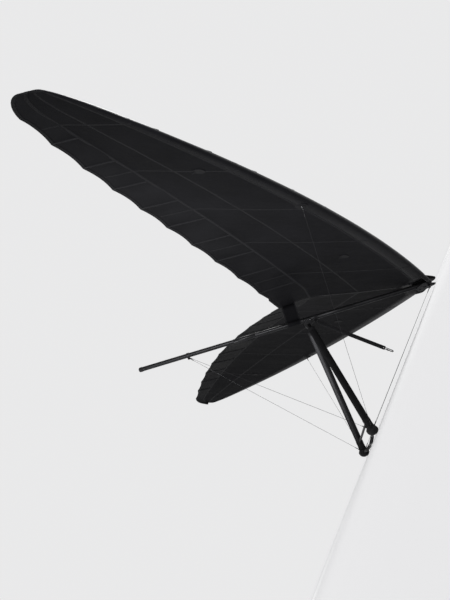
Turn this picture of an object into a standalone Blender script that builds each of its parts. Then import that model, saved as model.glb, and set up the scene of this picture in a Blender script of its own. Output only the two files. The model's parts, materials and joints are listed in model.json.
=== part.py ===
# A flex-wing hang glider, parked nose down on its nose plate and its two bar corners.
#
# Everything is drawn in the rigging frame: the nose is the origin, stations count metres
# aft of it, +Y is the port wing and +Z is up from the keel. One empty then tips the whole
# glider forward until the nose plate and the two bar corners touch the floor, and sets the
# origin on the floor under the middle of the glider.
import math

import bmesh
import bpy
from mathutils import Matrix, Vector

for old in list(bpy.data.objects):
    bpy.data.objects.remove(old, do_unlink=True)

# Wing plan: the leading edge runs aft by a line and a curve in y, and so does the trailing edge.
# The trailing edge stands above the leading edge by the twist: degrees at the root, and what a
# line and a curve in y add by the tip.
HALF_SPAN = 4.80
LE_SLOPE, LE_CURVE = 0.412, 0.0435
LE_RISE, LE_RISE_CURVE = 0.076, 0.0057
TE_ROOT, TE_SLOPE, TE_CURVE, TE_CUBE = 1.727, 0.4155, -0.0056, -0.0026
TWIST = (7.6, 20.0, -15.1)
NOSE_NOTCH_AFT, NOSE_NOTCH_Y = 0.22, 0.26
ROOT_LIFT = 0.055
TIP_ROUND_Y = 4.42
TIP_ROUND_LE, TIP_ROUND_TE = 0.05, 0.20
BATTEN_SPACING = 0.45
SCALLOP = 0.020
SHEET = 0.004
GAP = 0.0003

# Spars
KEEL_START, KEEL_LENGTH = 0.02, 3.44
KEEL_R = 0.025
SPAR_R = 0.025
SPAR_STUB_START, SPAR_STUB_END, SPAR_BEHIND_LE = 0.052, 0.210, 0.014
CAP_WALL, CAP_SKIRT, CAP_DOME = 0.003, 0.030, 0.018
POCKET_WALL, POCKET_WEB, POCKET_ROOM = 0.0030, 0.0025, 0.0006
POCKET_AFTS = (1.560, 1.615, 1.670, 1.722)

# Control frame
APEX_AFT, APEX_Y, APEX_Z = 1.488, 0.054, -0.078
CORNER_AFT, CORNER_Y, CORNER_Z = 1.28, 0.742, -1.515
UPRIGHT_CHORD, UPRIGHT_THICK = 0.078, 0.034
KNUCKLE_END, UPRIGHT_END = 0.055, 0.058
BAR_R, BAR_BOW_FORWARD, BAR_BOW_DOWN, BAR_END = 0.0150, 0.020, 0.028, 0.052
BRACE_R, BRACE_UP = 0.0125, 0.115
CORNER_RADII = (0.060, 0.060, 0.052)

# Wires and what they end on
WIRE_R = 0.0016
JUNCTION_Y, JUNCTION_BEHIND_LE = 2.55, 0.10
STEM_R, STEM_ROOM, STEM_TOP, EYE_R, EYE_OUT = 0.0100, 0.0005, 0.045, 0.0130, 0.030
REAR_CLAMP_AFT, REAR_CLAMP_R, REAR_CLAMP_TAB, REAR_CLAMP_HALF = 2.90, 0.031, -0.050, 0.015

# Hang loop, strap and carabiner
HANG_AFT = 1.385
WEB_WIDTH = 0.045
LOOP_INNER, LOOP_OUTER, LOOP_SAG = KEEL_R + 0.0012, KEEL_R + 0.0042, 0.0007
TAB_LOW, TAB_HALF = -0.074, 0.0050
PIN_DROP, PIN_R, PIN_HALF = 0.060, 0.0060, 0.0200
STRAP_LENGTH = 0.80
RING_R, RING_HALF_WIDTH, RING_HEIGHT, RING_SAG = 0.0050, 0.028, 0.105, 0.0018

SAIL = (0.014, 0.014, 0.016)
TUBE = (0.020, 0.020, 0.022)
FITTING = (0.025, 0.025, 0.027)
WEBBING = (0.012, 0.012, 0.013)
WIRE = (0.080, 0.080, 0.085)


def at(aft, y, z):
    """A point in the rigging frame."""
    return Vector((-aft, y, z))


def material(name, color, roughness, metallic):
    """One Principled finish for one piece."""
    mat = bpy.data.materials.new(name)
    mat.use_nodes = True
    shader = mat.node_tree.nodes["Principled BSDF"]
    shader.inputs["Base Color"].default_value = (*color, 1.0)
    shader.inputs["Roughness"].default_value = roughness
    shader.inputs["Metallic"].default_value = metallic
    return mat


parked = bpy.data.objects.new("parked", None)
bpy.context.scene.collection.objects.link(parked)


def add(name, bm, color, roughness=0.5, metallic=0.0, place=None, smooth=True):
    """Turn a bmesh into one named piece hung on the parked frame."""
    bmesh.ops.recalc_face_normals(bm, faces=bm.faces)
    mesh = bpy.data.meshes.new(name)
    bm.to_mesh(mesh)
    bm.free()
    if smooth:
        mesh.shade_smooth()
        mesh.set_sharp_from_angle(angle=math.radians(35))
    mesh.materials.append(material(name, color, roughness, metallic))
    piece = bpy.data.objects.new(name, mesh)
    bpy.context.scene.collection.objects.link(piece)
    piece.parent = parked
    if place is not None:
        piece.matrix_local = place
    return piece


def loft(rings, closed_path=False):
    """Skin equal rings of points in order, with flat ends unless the path closes."""
    bm = bmesh.new()
    rows = [[bm.verts.new(p) for p in ring] for ring in rings]
    count = len(rows[0])
    pairs = list(zip(rows, rows[1:]))
    if closed_path:
        pairs.append((rows[-1], rows[0]))
    for low, high in pairs:
        for i in range(count):
            j = (i + 1) % count
            bm.faces.new((low[i], low[j], high[j], high[i]))
    if not closed_path:
        bm.faces.new(list(reversed(rows[0])))
        bm.faces.new(rows[-1])
    return bm


def across(direction):
    """Two unit vectors square to a direction and to each other."""
    d = direction.normalized()
    helper = Vector((0, 0, 1)) if abs(d.z) < 0.9 else Vector((1, 0, 0))
    side = d.cross(helper).normalized()
    return side, d.cross(side).normalized()


def circle(centre, side, up, radius, sides):
    """Points of a round ring."""
    turns = [math.tau * i / sides for i in range(sides)]
    return [centre + side * (radius * math.cos(t)) + up * (radius * math.sin(t)) for t in turns]


def rod(a, b, radius, sides=20):
    """A straight round bar from a to b."""
    side, up = across(b - a)
    return loft([circle(a, side, up, radius, sides), circle(b, side, up, radius, sides)])


def turned(base, axis, profile, sides=20):
    """A solid of revolution: profile rows are (distance along axis, radius)."""
    d = axis.normalized()
    side, up = across(d)
    return loft([circle(base + d * h, side, up, max(r, 0.0004), sides) for h, r in profile])


def ball_profile(centre, radius, steps, start=-90, end=90):
    """Profile rows of a ball whose middle is at the given distance along the axis."""
    angles = [math.radians(start + (end - start) * i / steps) for i in range(steps + 1)]
    return [(centre + radius * math.sin(a), radius * math.cos(a)) for a in angles]


def combine(piece, tools, operation="DIFFERENCE", place=None):
    """Cut hidden solids out of a piece, or join them to it."""
    for number, bm in enumerate(tools):
        tool = add(f"cut_{piece.name}_{number}", bm, FITTING, place=place)
        tool.hide_render = True
        tool.display_type = "WIRE"
        step = piece.modifiers.new(f"step_{number}", "BOOLEAN")
        step.operation = operation
        step.solver = "EXACT"
        step.object = tool


# Wing section, as fractions of the chord: place along it, top surface, under surface
SECTION = [
    # along, top, under
    (0.000, 0.000, 0.000),
    (0.010, 0.021, -0.011),
    (0.035, 0.042, -0.016),
    (0.080, 0.064, -0.017),
    (0.160, 0.086, -0.011),
    (0.280, 0.099, -0.003),
    (0.430, 0.095, 0.008),
    (0.600, 0.073, 0.026),
    (0.780, 0.039, None),
    (1.000, 0.000, None),
]


def edges(y):
    """Leading and trailing edge at span station y, as (aft, height) pairs."""
    le_aft = LE_SLOPE * y + LE_CURVE * y * y
    le_z = LE_RISE * y + LE_RISE_CURVE * y * y
    te_aft = TE_ROOT + TE_SLOPE * y + TE_CURVE * y**2 + TE_CUBE * y**3
    out = y / HALF_SPAN
    twist = math.tan(math.radians(TWIST[0] + TWIST[1] * out + TWIST[2] * out * out))
    te_z = le_z + (te_aft - le_aft) * twist
    if y < NOSE_NOTCH_Y:
        share = 1 - y / NOSE_NOTCH_Y
        le_aft += share * NOSE_NOTCH_AFT
        le_z += share * ROOT_LIFT
    if y > TIP_ROUND_Y:
        past = min(1.0, (y - TIP_ROUND_Y) / (HALF_SPAN - TIP_ROUND_Y))
        rounding = 1 - math.sqrt(1 - past * past)
        le_aft += TIP_ROUND_LE * rounding
        le_z += TIP_ROUND_LE * rounding * twist
        te_aft -= TIP_ROUND_TE * rounding
        te_z -= TIP_ROUND_TE * rounding * twist
    return (le_aft, le_z), (te_aft, te_z)


def section(y, scallop=0.0):
    """One closed wing section in (aft, z), over the top and back along the under side."""
    (le_aft, le_z), (te_aft, te_z) = edges(y)
    chord = Vector((te_aft - scallop - le_aft, te_z - le_z))
    length = chord.length
    along = chord / length
    normal = Vector((-along.y, along.x))
    start = Vector((le_aft, le_z))
    top = [start + along * (a * length) + normal * (t * length) for a, t, u in SECTION]
    under = []
    for a, t, u in SECTION[1:]:
        height = t * length - SHEET if u is None else min(u, t) * length
        under.append(start + along * (a * length) + normal * height)
    return top + list(reversed(under))


def span_stations():
    """Span stations with their scallop: a batten at each full step, cloth between."""
    rows = [(GAP, 0.0), (0.12, 0.0), (NOSE_NOTCH_Y, SCALLOP)]
    y = BATTEN_SPACING
    while y + BATTEN_SPACING / 2 < TIP_ROUND_Y:
        rows += [(y, 0.0), (y + BATTEN_SPACING / 2, SCALLOP)]
        y += BATTEN_SPACING
    rows[-1] = (rows[-1][0], 0.0)
    for share in (0.0, 0.45, 0.70, 0.87, 0.96, 1.0):
        rows.append((TIP_ROUND_Y + share * (HALF_SPAN - TIP_ROUND_Y), 0.0))
    return rows


def surface_heights(aft, y):
    """Under and top surface height of the wing at one place."""
    ring = section(y)
    hits = []
    for p, q in zip(ring, ring[1:] + ring[:1]):
        if (p.x - aft) * (q.x - aft) <= 0 and p.x != q.x:
            hits.append(p.y + (q.y - p.y) * (aft - p.x) / (q.x - p.x))
    return min(hits), max(hits)


# Sail halves, sewn at the middle
junction_aft = edges(JUNCTION_Y)[0][0] + JUNCTION_BEHIND_LE
junction_low = surface_heights(junction_aft, JUNCTION_Y)[0]
for wing, hand in (("port", 1), ("starboard", -1)):
    rings = [[at(a, hand * y, z) for a, z in section(y, dip)] for y, dip in span_stations()]
    sail = add(f"sail_{wing}", loft(rings), SAIL, 0.6)
    stem = at(junction_aft, hand * JUNCTION_Y, junction_low)
    below, above = Vector((0, 0, -0.1)), Vector((0, 0, STEM_TOP))
    combine(sail, [rod(stem + below, stem + above, STEM_R + STEM_ROOM)])

# Keel with its end cap and the sewn pocket at the back of the sail
keel = rod(at(KEEL_START, 0, 0), at(KEEL_LENGTH, 0, 0), KEEL_R, 24)
add("keel_tube", keel, TUBE, 0.35, 0.6)
cap_r = KEEL_R + CAP_WALL
cap_rows = [(0, cap_r), (CAP_SKIRT, cap_r)]
cap_rows += [(CAP_SKIRT + CAP_DOME * math.sin(a), cap_r * math.cos(a)) for a in (0.5, 1.0, 1.4)]
tail_cap = turned(at(KEEL_LENGTH + GAP, 0, 0), at(1, 0, 0), cap_rows)
add("keel_end_cap", tail_cap, FITTING, 0.6)


def keel_collar(afts, inner, outer, reach_of, half_width):
    """A sleeve round the keel with a flat web: reach_of gives the web's far edge in z."""
    bm = bmesh.new()
    sides = 24
    angles = [math.tau * (i + 0.5) / sides for i in range(sides)]
    shells = []
    for aft in afts:
        far = reach_of(aft)
        up = 1 if far > 0 else -1
        web_foot = up * math.sqrt(outer**2 - half_width**2)
        web = {0: (half_width, far), 1: (half_width, web_foot)}
        web.update({sides - 1: (-half_width, far), sides - 2: (-half_width, web_foot)})
        outside, inside = [], []
        for i, angle in enumerate(angles):
            across_y, down_z = math.sin(angle), math.cos(angle) * up
            y, z = web.get(i, (outer * across_y, outer * down_z))
            outside.append(bm.verts.new(at(aft, y, z)))
            inside.append(bm.verts.new(at(aft, inner * across_y, inner * down_z)))
        shells.append((outside, inside))
    for (out_a, in_a), (out_b, in_b) in zip(shells, shells[1:]):
        for i in range(sides):
            j = (i + 1) % sides
            bm.faces.new((out_a[i], out_a[j], out_b[j], out_b[i]))
            bm.faces.new((in_a[j], in_a[i], in_b[i], in_b[j]))
    for outside, inside in (shells[0], shells[-1]):
        for i in range(sides):
            j = (i + 1) % sides
            bm.faces.new((outside[i], outside[j], inside[j], inside[i]))
    return bm


def pocket_top(aft):
    """The pocket's web stops just under the cloth."""
    return surface_heights(aft, GAP)[0] - POCKET_ROOM


pocket_inner, pocket_outer = KEEL_R + GAP, KEEL_R + POCKET_WALL
pocket = keel_collar(POCKET_AFTS, pocket_inner, pocket_outer, pocket_top, POCKET_WEB)
add("keel_pocket", pocket, SAIL, 0.7)

# Nose: two plates clamp the keel and the spar ends, under a sewn cone
PLATE = [
    # aft, half width
    (-0.030, 0.030),
    (0.010, 0.062),
    (0.115, 0.150),
    (0.160, 0.120),
    (0.200, 0.024),
]


def plate_slab(rows, z_low, z_high):
    """A flat plate whose outline mirrors about the middle."""
    outline = [(a, w) for a, w in rows] + [(a, -w) for a, w in reversed(rows)]
    return loft([[at(a, y, z) for a, y in outline] for z in (z_low, z_high)])


PLATE_THICK = 0.004
plate_inner = SPAR_R + GAP
plate_outer = plate_inner + PLATE_THICK
for plate, hand in (("nose_plate_lower", -1), ("nose_plate_upper", 1)):
    z_pair = sorted((hand * plate_inner, hand * plate_outer))
    add(plate, plate_slab(PLATE, *z_pair), FITTING, 0.35, 0.7, smooth=False)
for wing, hand in (("port", 1), ("starboard", -1)):
    ends = []
    for y in (SPAR_STUB_START, SPAR_STUB_END):
        ends.append(at(LE_SLOPE * y + LE_CURVE * y * y + SPAR_BEHIND_LE, hand * y, 0))
    add(f"leading_edge_tube_{wing}", rod(*ends, SPAR_R, 20), TUBE, 0.35, 0.6)

CONE_TOP, CONE_EDGE = 0.062, 0.006
CONE = [
    # aft, half width, top height
    (-0.052, 0.012, 0.038),
    (-0.040, 0.050, 0.046),
    (0.020, 0.130, CONE_TOP),
    (0.098, 0.236, CONE_TOP),
    (0.150, 0.128, 0.074),
    (0.207, 0.010, 0.086),
]


def cone_rings(rows, base):
    """Low domed rings over a flat base, one for each station."""
    shares = (-1.0, -0.7, -0.3, 0.0, 0.3, 0.7, 1.0)
    rings = []
    for aft, half, top in rows:
        side = base + CONE_EDGE
        arch = [at(aft, half * v, side + (top - side) * (1 - v * v)) for v in shares]
        floor = [at(aft, half * v, base) for v in reversed(shares)]
        rings.append(arch + floor)
    return rings


cone_base = plate_outer + GAP
add("nose_cone", loft(cone_rings(CONE, cone_base)), SAIL, 0.7)

# Catch under the nose: the eye that the front wires end on
NOSE_EYE_AFT, NOSE_EYE_UP = 0.045, 0.018
eye_rows = [(0, 0.018), (0.005, 0.018), (0.007, 0.007)]
eye_rows += ball_profile(NOSE_EYE_UP, EYE_R, 8, -50)
catch_low = -plate_outer - GAP
catch = turned(at(NOSE_EYE_AFT, 0, catch_low), Vector((0, 0, -1)), eye_rows)
add("nose_catch", catch, FITTING, 0.3, 0.8)
nose_eye = at(NOSE_EYE_AFT, 0, catch_low - NOSE_EYE_UP)

# Apex bracket: a block under the keel with a groove for the tube
BLOCK_X, BLOCK_Y, BLOCK_LOW, BLOCK_HIGH = 0.090, 0.070, -0.102, 0.004
BLOCK_EDGE, GROOVE_ROOM = 0.006, 0.0004


def block(low, high):
    """A plain box between two corners."""
    size = high - low
    bm = bmesh.new()
    bmesh.ops.create_cube(bm, size=1.0)
    bmesh.ops.scale(bm, vec=size, verts=bm.verts)
    bmesh.ops.translate(bm, vec=(low + high) / 2, verts=bm.verts)
    return bm


def bevelled(bm, width, segments=2):
    """Round all the edges of a box."""
    bmesh.ops.bevel(bm, geom=list(bm.edges), offset=width, segments=segments, affect="EDGES")
    return bm


apex_low = at(APEX_AFT + BLOCK_X / 2, -BLOCK_Y / 2, BLOCK_LOW)
apex_high = at(APEX_AFT - BLOCK_X / 2, BLOCK_Y / 2, BLOCK_HIGH)
apex_block = bevelled(block(apex_low, apex_high), BLOCK_EDGE)
apex = add("apex_bracket", apex_block, FITTING, 0.35, 0.7)
groove_start, groove_end = at(APEX_AFT - BLOCK_X, 0, 0), at(APEX_AFT + BLOCK_X, 0, 0)
combine(apex, [rod(groove_start, groove_end, KEEL_R + GROOVE_ROOM, 24)])

# Uprights, from knuckles on the apex bracket down to the corner fittings
AEROFOIL = [
    # along the chord from the middle, half thickness, as fractions
    (0.50, 0.00),
    (0.46, 0.32),
    (0.34, 0.74),
    (0.12, 1.00),
    (-0.14, 0.86),
    (-0.34, 0.48),
    (-0.46, 0.20),
    (-0.50, 0.00),
]
corner = {hand: at(CORNER_AFT, hand * CORNER_Y, CORNER_Z) for hand in (1, -1)}
apex_end = {hand: at(APEX_AFT, hand * APEX_Y, APEX_Z) for hand in (1, -1)}


def faired(a, b, forward, chord, thick):
    """An aerofoil tube from a to b, its round edge forward."""
    run = (b - a).normalized()
    nose = (forward - run * forward.dot(run)).normalized()
    side = run.cross(nose)
    upper = [(x, t) for x, t in AEROFOIL]
    lower = [(x, -t) for x, t in reversed(AEROFOIL[1:-1])]
    shape = [nose * (x * chord) + side * (t * thick / 2) for x, t in upper + lower]
    return loft([[a + s for s in shape], [b + s for s in shape]])


KNUCKLE = [
    # along the upright's chord, across it at the top, across it at the bottom
    (0.021, 0.016, 0.012),
    (-0.021, 0.016, 0.012),
    (-0.021, -0.018, -0.012),
    (0.021, -0.018, -0.012),
]
for wing, hand in (("port", 1), ("starboard", -1)):
    run = (corner[hand] - apex_end[hand]).normalized()
    forward = Vector((1, 0, 0))
    start = apex_end[hand] + run * (KNUCKLE_END + GAP)
    stop = corner[hand] - run * UPRIGHT_END
    upright = faired(start, stop, forward, UPRIGHT_CHORD, UPRIGHT_THICK)
    add(f"upright_{wing}", upright, TUBE, 0.35, 0.6)
    inner = hand * (BLOCK_Y / 2 + GAP)
    top_ring = [at(APEX_AFT - x, inner, APEX_Z + z) for x, z, w in KNUCKLE]
    nose = (forward - run * forward.dot(run)).normalized()
    outer = run.cross(nose)
    if outer.y * hand < 0:
        outer = -outer
    low = apex_end[hand] + run * KNUCKLE_END
    low_ring = [low + nose * x + outer * w for x, z, w in KNUCKLE]
    knuckle = loft([top_ring, low_ring])
    add(f"upright_knuckle_{wing}", knuckle, FITTING, 0.35, 0.7, smooth=False)

# Corner fittings: rounded shoes, cut flat where the upright and the bar plug in
shoe = {}
for wing, hand in (("port", 1), ("starboard", -1)):
    bm = bmesh.new()
    bmesh.ops.create_uvsphere(bm, u_segments=20, v_segments=12, radius=1.0)
    bmesh.ops.scale(bm, vec=CORNER_RADII, verts=bm.verts)
    bmesh.ops.translate(bm, vec=corner[hand], verts=bm.verts)
    run = (corner[hand] - apex_end[hand]).normalized()
    inward = Vector((0, -hand, 0))
    cuts = [
        # place, outward
        (corner[hand] - run * (UPRIGHT_END - GAP), -run),
        (corner[hand] + inward * (BAR_END - GAP), inward),
    ]
    for place, outward in cuts:
        everything = bm.verts[:] + bm.edges[:] + bm.faces[:]
        sliced = bmesh.ops.bisect_plane(
            bm, geom=everything, plane_co=place, plane_no=outward, clear_outer=True
        )
        rim = [e for e in sliced["geom_cut"] if isinstance(e, bmesh.types.BMEdge)]
        if rim:
            bmesh.ops.holes_fill(bm, edges=rim)
    shoe[hand] = add(f"corner_fitting_{wing}", bm, FITTING, 0.6)

# Bar: bowed forward between the corners, with a straight brace above it
BAR_STATIONS = (-1.0, -0.93, -0.80, -0.60, -0.35, 0.0, 0.35, 0.60, 0.80, 0.93, 1.0)
bar_half = CORNER_Y - BAR_END
path = []
for v in BAR_STATIONS:
    bow = (1 - v * v) ** 0.8
    forward, down = BAR_BOW_FORWARD * bow, BAR_BOW_DOWN * bow
    path.append(at(CORNER_AFT - forward, v * bar_half, CORNER_Z - down))


def bent_tube(path, radius, sides, end_normal):
    """A round tube along a path, with both ends cut square to end_normal."""
    rings = []
    for i, centre in enumerate(path):
        if i in (0, len(path) - 1):
            run = end_normal
        else:
            run = (path[i + 1] - path[i - 1]).normalized()
        side = run.cross(Vector((0, 0, 1))).normalized()
        rings.append(circle(centre, side, side.cross(run), radius, sides))
    return loft(rings)


add("base_bar", bent_tube(path, BAR_R, 16, Vector((0, 1, 0))), TUBE, 0.4, 0.5)


def upright_point(hand, z):
    """The middle of an upright at one height."""
    a, b = apex_end[hand], corner[hand]
    return a + (b - a) * ((z - a.z) / (b.z - a.z))


brace_z = CORNER_Z + BRACE_UP
brace_rings = []
for hand in (-1, 1):
    centre = upright_point(hand, brace_z)
    run = (corner[hand] - apex_end[hand]).normalized()
    inset = UPRIGHT_THICK / 2 / abs(run.z) + GAP
    ring = circle(centre, Vector((1, 0, 0)), Vector((0, 0, 1)), BRACE_R, 16)
    lean = run.y / run.z
    slid = [Vector((0, lean * (p.z - centre.z) - hand * inset, 0)) for p in ring]
    brace_rings.append([p + slide for p, slide in zip(ring, slid)])
add("brace_bar", loft(brace_rings), TUBE, 0.4, 0.5)

# Side junctions: stems that come down out of the wing, with an eye at the bottom
EYE_STEM = 0.012
eye_low = junction_low - EYE_OUT
stem_rows = ball_profile(eye_low, EYE_R, 6, -90, 30)
stem_rows += [(eye_low + EYE_STEM, STEM_R), (junction_low + STEM_TOP - GAP, STEM_R)]
for wing, hand in (("port", 1), ("starboard", -1)):
    foot = at(junction_aft, hand * JUNCTION_Y, 0)
    add(f"side_junction_{wing}", turned(foot, Vector((0, 0, 1)), stem_rows), FITTING, 0.3, 0.8)

# Clamp ring on the keel behind the sail, for the rear wires
clamp_afts = (REAR_CLAMP_AFT - REAR_CLAMP_HALF, REAR_CLAMP_AFT + REAR_CLAMP_HALF)
clamp_web = 0.004
clamp = keel_collar(clamp_afts, pocket_inner, REAR_CLAMP_R, lambda aft: REAR_CLAMP_TAB, clamp_web)
add("rear_wire_clamp", clamp, FITTING, 0.35, 0.7)


def skin_reach(piece, middle, run):
    """Distance from the middle of a rounded piece to its skin, along a unit vector."""
    hit, place, normal, index = piece.ray_cast(middle + run, -run)
    return (place - middle).length


def wire(name, a, reach_a, b, reach_b):
    """A stay that stops just clear of what it ends on."""
    run = (b - a).normalized()
    add(name, rod(a + run * reach_a, b - run * reach_b, WIRE_R, 6), WIRE, 0.4, 0.8)


eye_gap = EYE_R + GAP
clamp_gap, shoe_room = 0.0030, 0.0007
bpy.context.view_layer.update()
for wing, hand in (("port", 1), ("starboard", -1)):
    foot = corner[hand]
    low_eye = at(junction_aft, hand * JUNCTION_Y, eye_low)
    clamp_side = Vector((0, foot.y, foot.z)).normalized() * REAR_CLAMP_R
    for name, far, far_gap in (
        ("front_wire", nose_eye, eye_gap),
        ("side_wire", low_eye, eye_gap),
        ("rear_wire", at(REAR_CLAMP_AFT, 0, 0) + clamp_side, clamp_gap),
    ):
        run = (far - foot).normalized()
        shoe_gap = skin_reach(shoe[hand], foot, run) + shoe_room
        wire(f"{name}_{wing}", foot, shoe_gap, far, far_gap)

# Hang loop on the keel: a ring of webbing with a tab and a cross pin
loop_afts = (HANG_AFT - WEB_WIDTH / 2, HANG_AFT + WEB_WIDTH / 2)
loop = keel_collar(loop_afts, LOOP_INNER, LOOP_OUTER, lambda aft: TAB_LOW, TAB_HALF)
bmesh.ops.translate(loop, vec=-at(HANG_AFT, 0, LOOP_SAG), verts=loop.verts)
hang_place = Matrix.Translation(at(HANG_AFT, 0, 0))
hang_loop = add("hang_loop", loop, WEBBING, 0.8, place=hang_place)
pin = rod(Vector((0, -PIN_HALF, -PIN_DROP)), Vector((0, PIN_HALF, -PIN_DROP)), PIN_R, 16)
combine(hang_loop, [pin], "UNION", hang_place)

# Parked attitude: tip forward until the nose plate and the corner fittings are level
def lowest(name, pitch):
    """Lowest point of a piece once the glider is tipped forward by pitch."""
    tip = Matrix.Rotation(pitch, 3, "Y")
    return min((tip @ v.co).z for v in bpy.data.objects[name].data.vertices)


low_pitch, high_pitch = math.radians(20), math.radians(70)
for _ in range(60):
    pitch = (low_pitch + high_pitch) / 2
    if lowest("nose_plate_lower", pitch) > lowest("corner_fitting_port", pitch):
        low_pitch = pitch
    else:
        high_pitch = pitch
plumb = Matrix.Rotation(-pitch, 4, "Y")

# Hang strap: hangs plumb from the pin, forked at the top, with an eye at the bottom
PIN_ROOM, EYE_ROOM = 0.0010, 0.0022
FORK = [
    # half width of the outside, half width of the fork's opening, drop below the pin
    (0.0165, 0.0108, -0.013),
    (0.0165, 0.0108, 0.040),
    (0.0070, 0.0015, 0.095),
]
STRAP_HALF = 0.0045
eye_top = STRAP_LENGTH + 0.013
NECK_DROP = 0.120
outline = [(w, -d) for w, gap, d in FORK] + [(STRAP_HALF, -NECK_DROP), (STRAP_HALF, -eye_top)]
inside = [(gap, -d) for w, gap, d in reversed(FORK)]
half_shape = outline + [(-y, z) for y, z in reversed(outline)]
fork_shape = half_shape + [(-gap, -d) for w, gap, d in FORK] + inside
rings = [[Vector((x, y, z)) for y, z in fork_shape] for x in (-WEB_WIDTH / 2, WEB_WIDTH / 2)]
pin_place = Matrix.Translation(at(HANG_AFT, 0, -PIN_DROP)) @ plumb
strap = add("hang_strap", loft(rings), WEBBING, 0.8, place=pin_place, smooth=False)
eye_drop = Vector((0, 0, -STRAP_LENGTH))
wide = Vector((0, 0.03, 0))
pin_hole = rod(-wide, wide, PIN_R + PIN_ROOM, 16)
eye_hole = rod(eye_drop - wide, eye_drop + wide, RING_R + EYE_ROOM, 16)
combine(strap, [pin_hole, eye_hole], place=pin_place)

# Carabiner: an oval ring through the strap's lower eye
RING_STEPS, RING_FLAT = 5, 0.010
bend = RING_HALF_WIDTH - RING_FLAT
ring_path = []
for quarter, (side_y, low_z) in enumerate(((1, 0), (-1, 0), (-1, 1), (1, 1))):
    centre = Vector((0, side_y * RING_FLAT, -bend if low_z == 0 else bend - RING_HEIGHT))
    for i in range(RING_STEPS):
        angle = math.radians(90 * quarter + 90 * i / (RING_STEPS - 1))
        ring_path.append(centre + Vector((0, bend * math.cos(angle), bend * math.sin(angle))))
rings = []
for i, centre in enumerate(ring_path):
    run = (ring_path[(i + 1) % len(ring_path)] - ring_path[i - 1]).normalized()
    front = Vector((1, 0, 0))
    rings.append(circle(centre, front, run.cross(front), RING_R, 10))
eye_place = pin_place @ Matrix.Translation(eye_drop + Vector((0, 0, -RING_SAG)))
add("carabiner", loft(rings, closed_path=True), FITTING, 0.3, 0.8, place=eye_place)

# Park it: tip forward, then stand the middle of its box on the origin
parked.rotation_euler.y = pitch
bpy.context.view_layer.update()
depsgraph = bpy.context.evaluated_depsgraph_get()
lows, highs = Vector((1e9, 1e9, 1e9)), Vector((-1e9, -1e9, -1e9))
for piece in bpy.context.scene.objects:
    if piece.type != "MESH" or piece.hide_render:
        continue
    solid = piece.evaluated_get(depsgraph)
    for vertex in solid.data.vertices:
        place = solid.matrix_world @ vertex.co
        lows = Vector(map(min, lows, place))
        highs = Vector(map(max, highs, place))
middle = (lows + highs) / 2
parked.location = (-middle.x, -middle.y, -lows.z)
bpy.context.view_layer.update()
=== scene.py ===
# %% [markdown]
# A black flex wing, parked on its nose
#
# This lesson dresses a packed hang glider: the frame gives the plain solids at their real
# places, and each step below makes one piece of the real thing over them, in metres.
# Run the cells in order. Each one prints what it made.

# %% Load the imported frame
import json
import math

import bmesh
import bpy
from mathutils import Matrix, Vector, noise


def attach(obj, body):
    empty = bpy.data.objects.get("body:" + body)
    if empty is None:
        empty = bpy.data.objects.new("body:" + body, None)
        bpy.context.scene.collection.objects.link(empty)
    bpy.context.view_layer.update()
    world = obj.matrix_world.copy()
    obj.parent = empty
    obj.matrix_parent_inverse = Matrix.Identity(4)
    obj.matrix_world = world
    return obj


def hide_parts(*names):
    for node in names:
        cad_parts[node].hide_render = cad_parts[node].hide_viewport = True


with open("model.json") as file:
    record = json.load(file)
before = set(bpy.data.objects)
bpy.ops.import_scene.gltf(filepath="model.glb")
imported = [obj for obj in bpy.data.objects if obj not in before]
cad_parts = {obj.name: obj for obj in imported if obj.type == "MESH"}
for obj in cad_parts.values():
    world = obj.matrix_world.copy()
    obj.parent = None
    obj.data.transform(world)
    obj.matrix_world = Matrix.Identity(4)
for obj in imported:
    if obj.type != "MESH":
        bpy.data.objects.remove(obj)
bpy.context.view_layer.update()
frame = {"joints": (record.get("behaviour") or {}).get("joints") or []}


def add(name, data):
    """Put a new object into the scene."""
    made = bpy.data.objects.new(name, data)
    bpy.context.scene.collection.objects.link(made)
    return made


# %% [markdown]
# A rigger measures a wing from its nose: so many metres aft, out along the span, and up from
# the keel. The whole glider is tipped forward where it parks, so one helper turns those
# rigging measures into places in the scene. The hang loop's hinge lies along the keel, which
# gives the tilt and, with the hang point's station, the nose.

# %% The rigging frame
HANG_AFT = 1.385
hinges = {joint["name"]: joint for joint in frame["joints"]}
FORWARD = Vector(hinges["loop_roll"]["axis"]).normalized()
PORT = Vector((0, 1, 0))
UP = FORWARD.cross(PORT)
NOSE = Vector(hinges["loop_roll"]["pos_m"]) + FORWARD * HANG_AFT
PLUMB = Vector((0, 0, 1))


def at(aft, y, z):
    """A place given as metres aft of the nose, out to port and up from the keel."""
    return NOSE - FORWARD * aft + PORT * y + UP * z


print("nose at", [round(v, 3) for v in NOSE], "keel runs along", [round(v, 3) for v in FORWARD])

# %% [markdown]
# The view is taken from the floor, looking up at the underside of the near wing, with the
# camera rolled well over, so that the wing sweeps across the frame. The camera is written as
# a place and three turns in radians, and a matrix is built from them by hand, which is
# easier to check than a chain of Euler angles.

# %% Camera
EYE = Vector((NOSE.x - 3.585, -9.289, 0.030))
TURN, LIFT, ROLL = 0.2627, 0.2169, -1.1980
LENS_MM, SENSOR_MM = 51.0, 36.0

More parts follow.
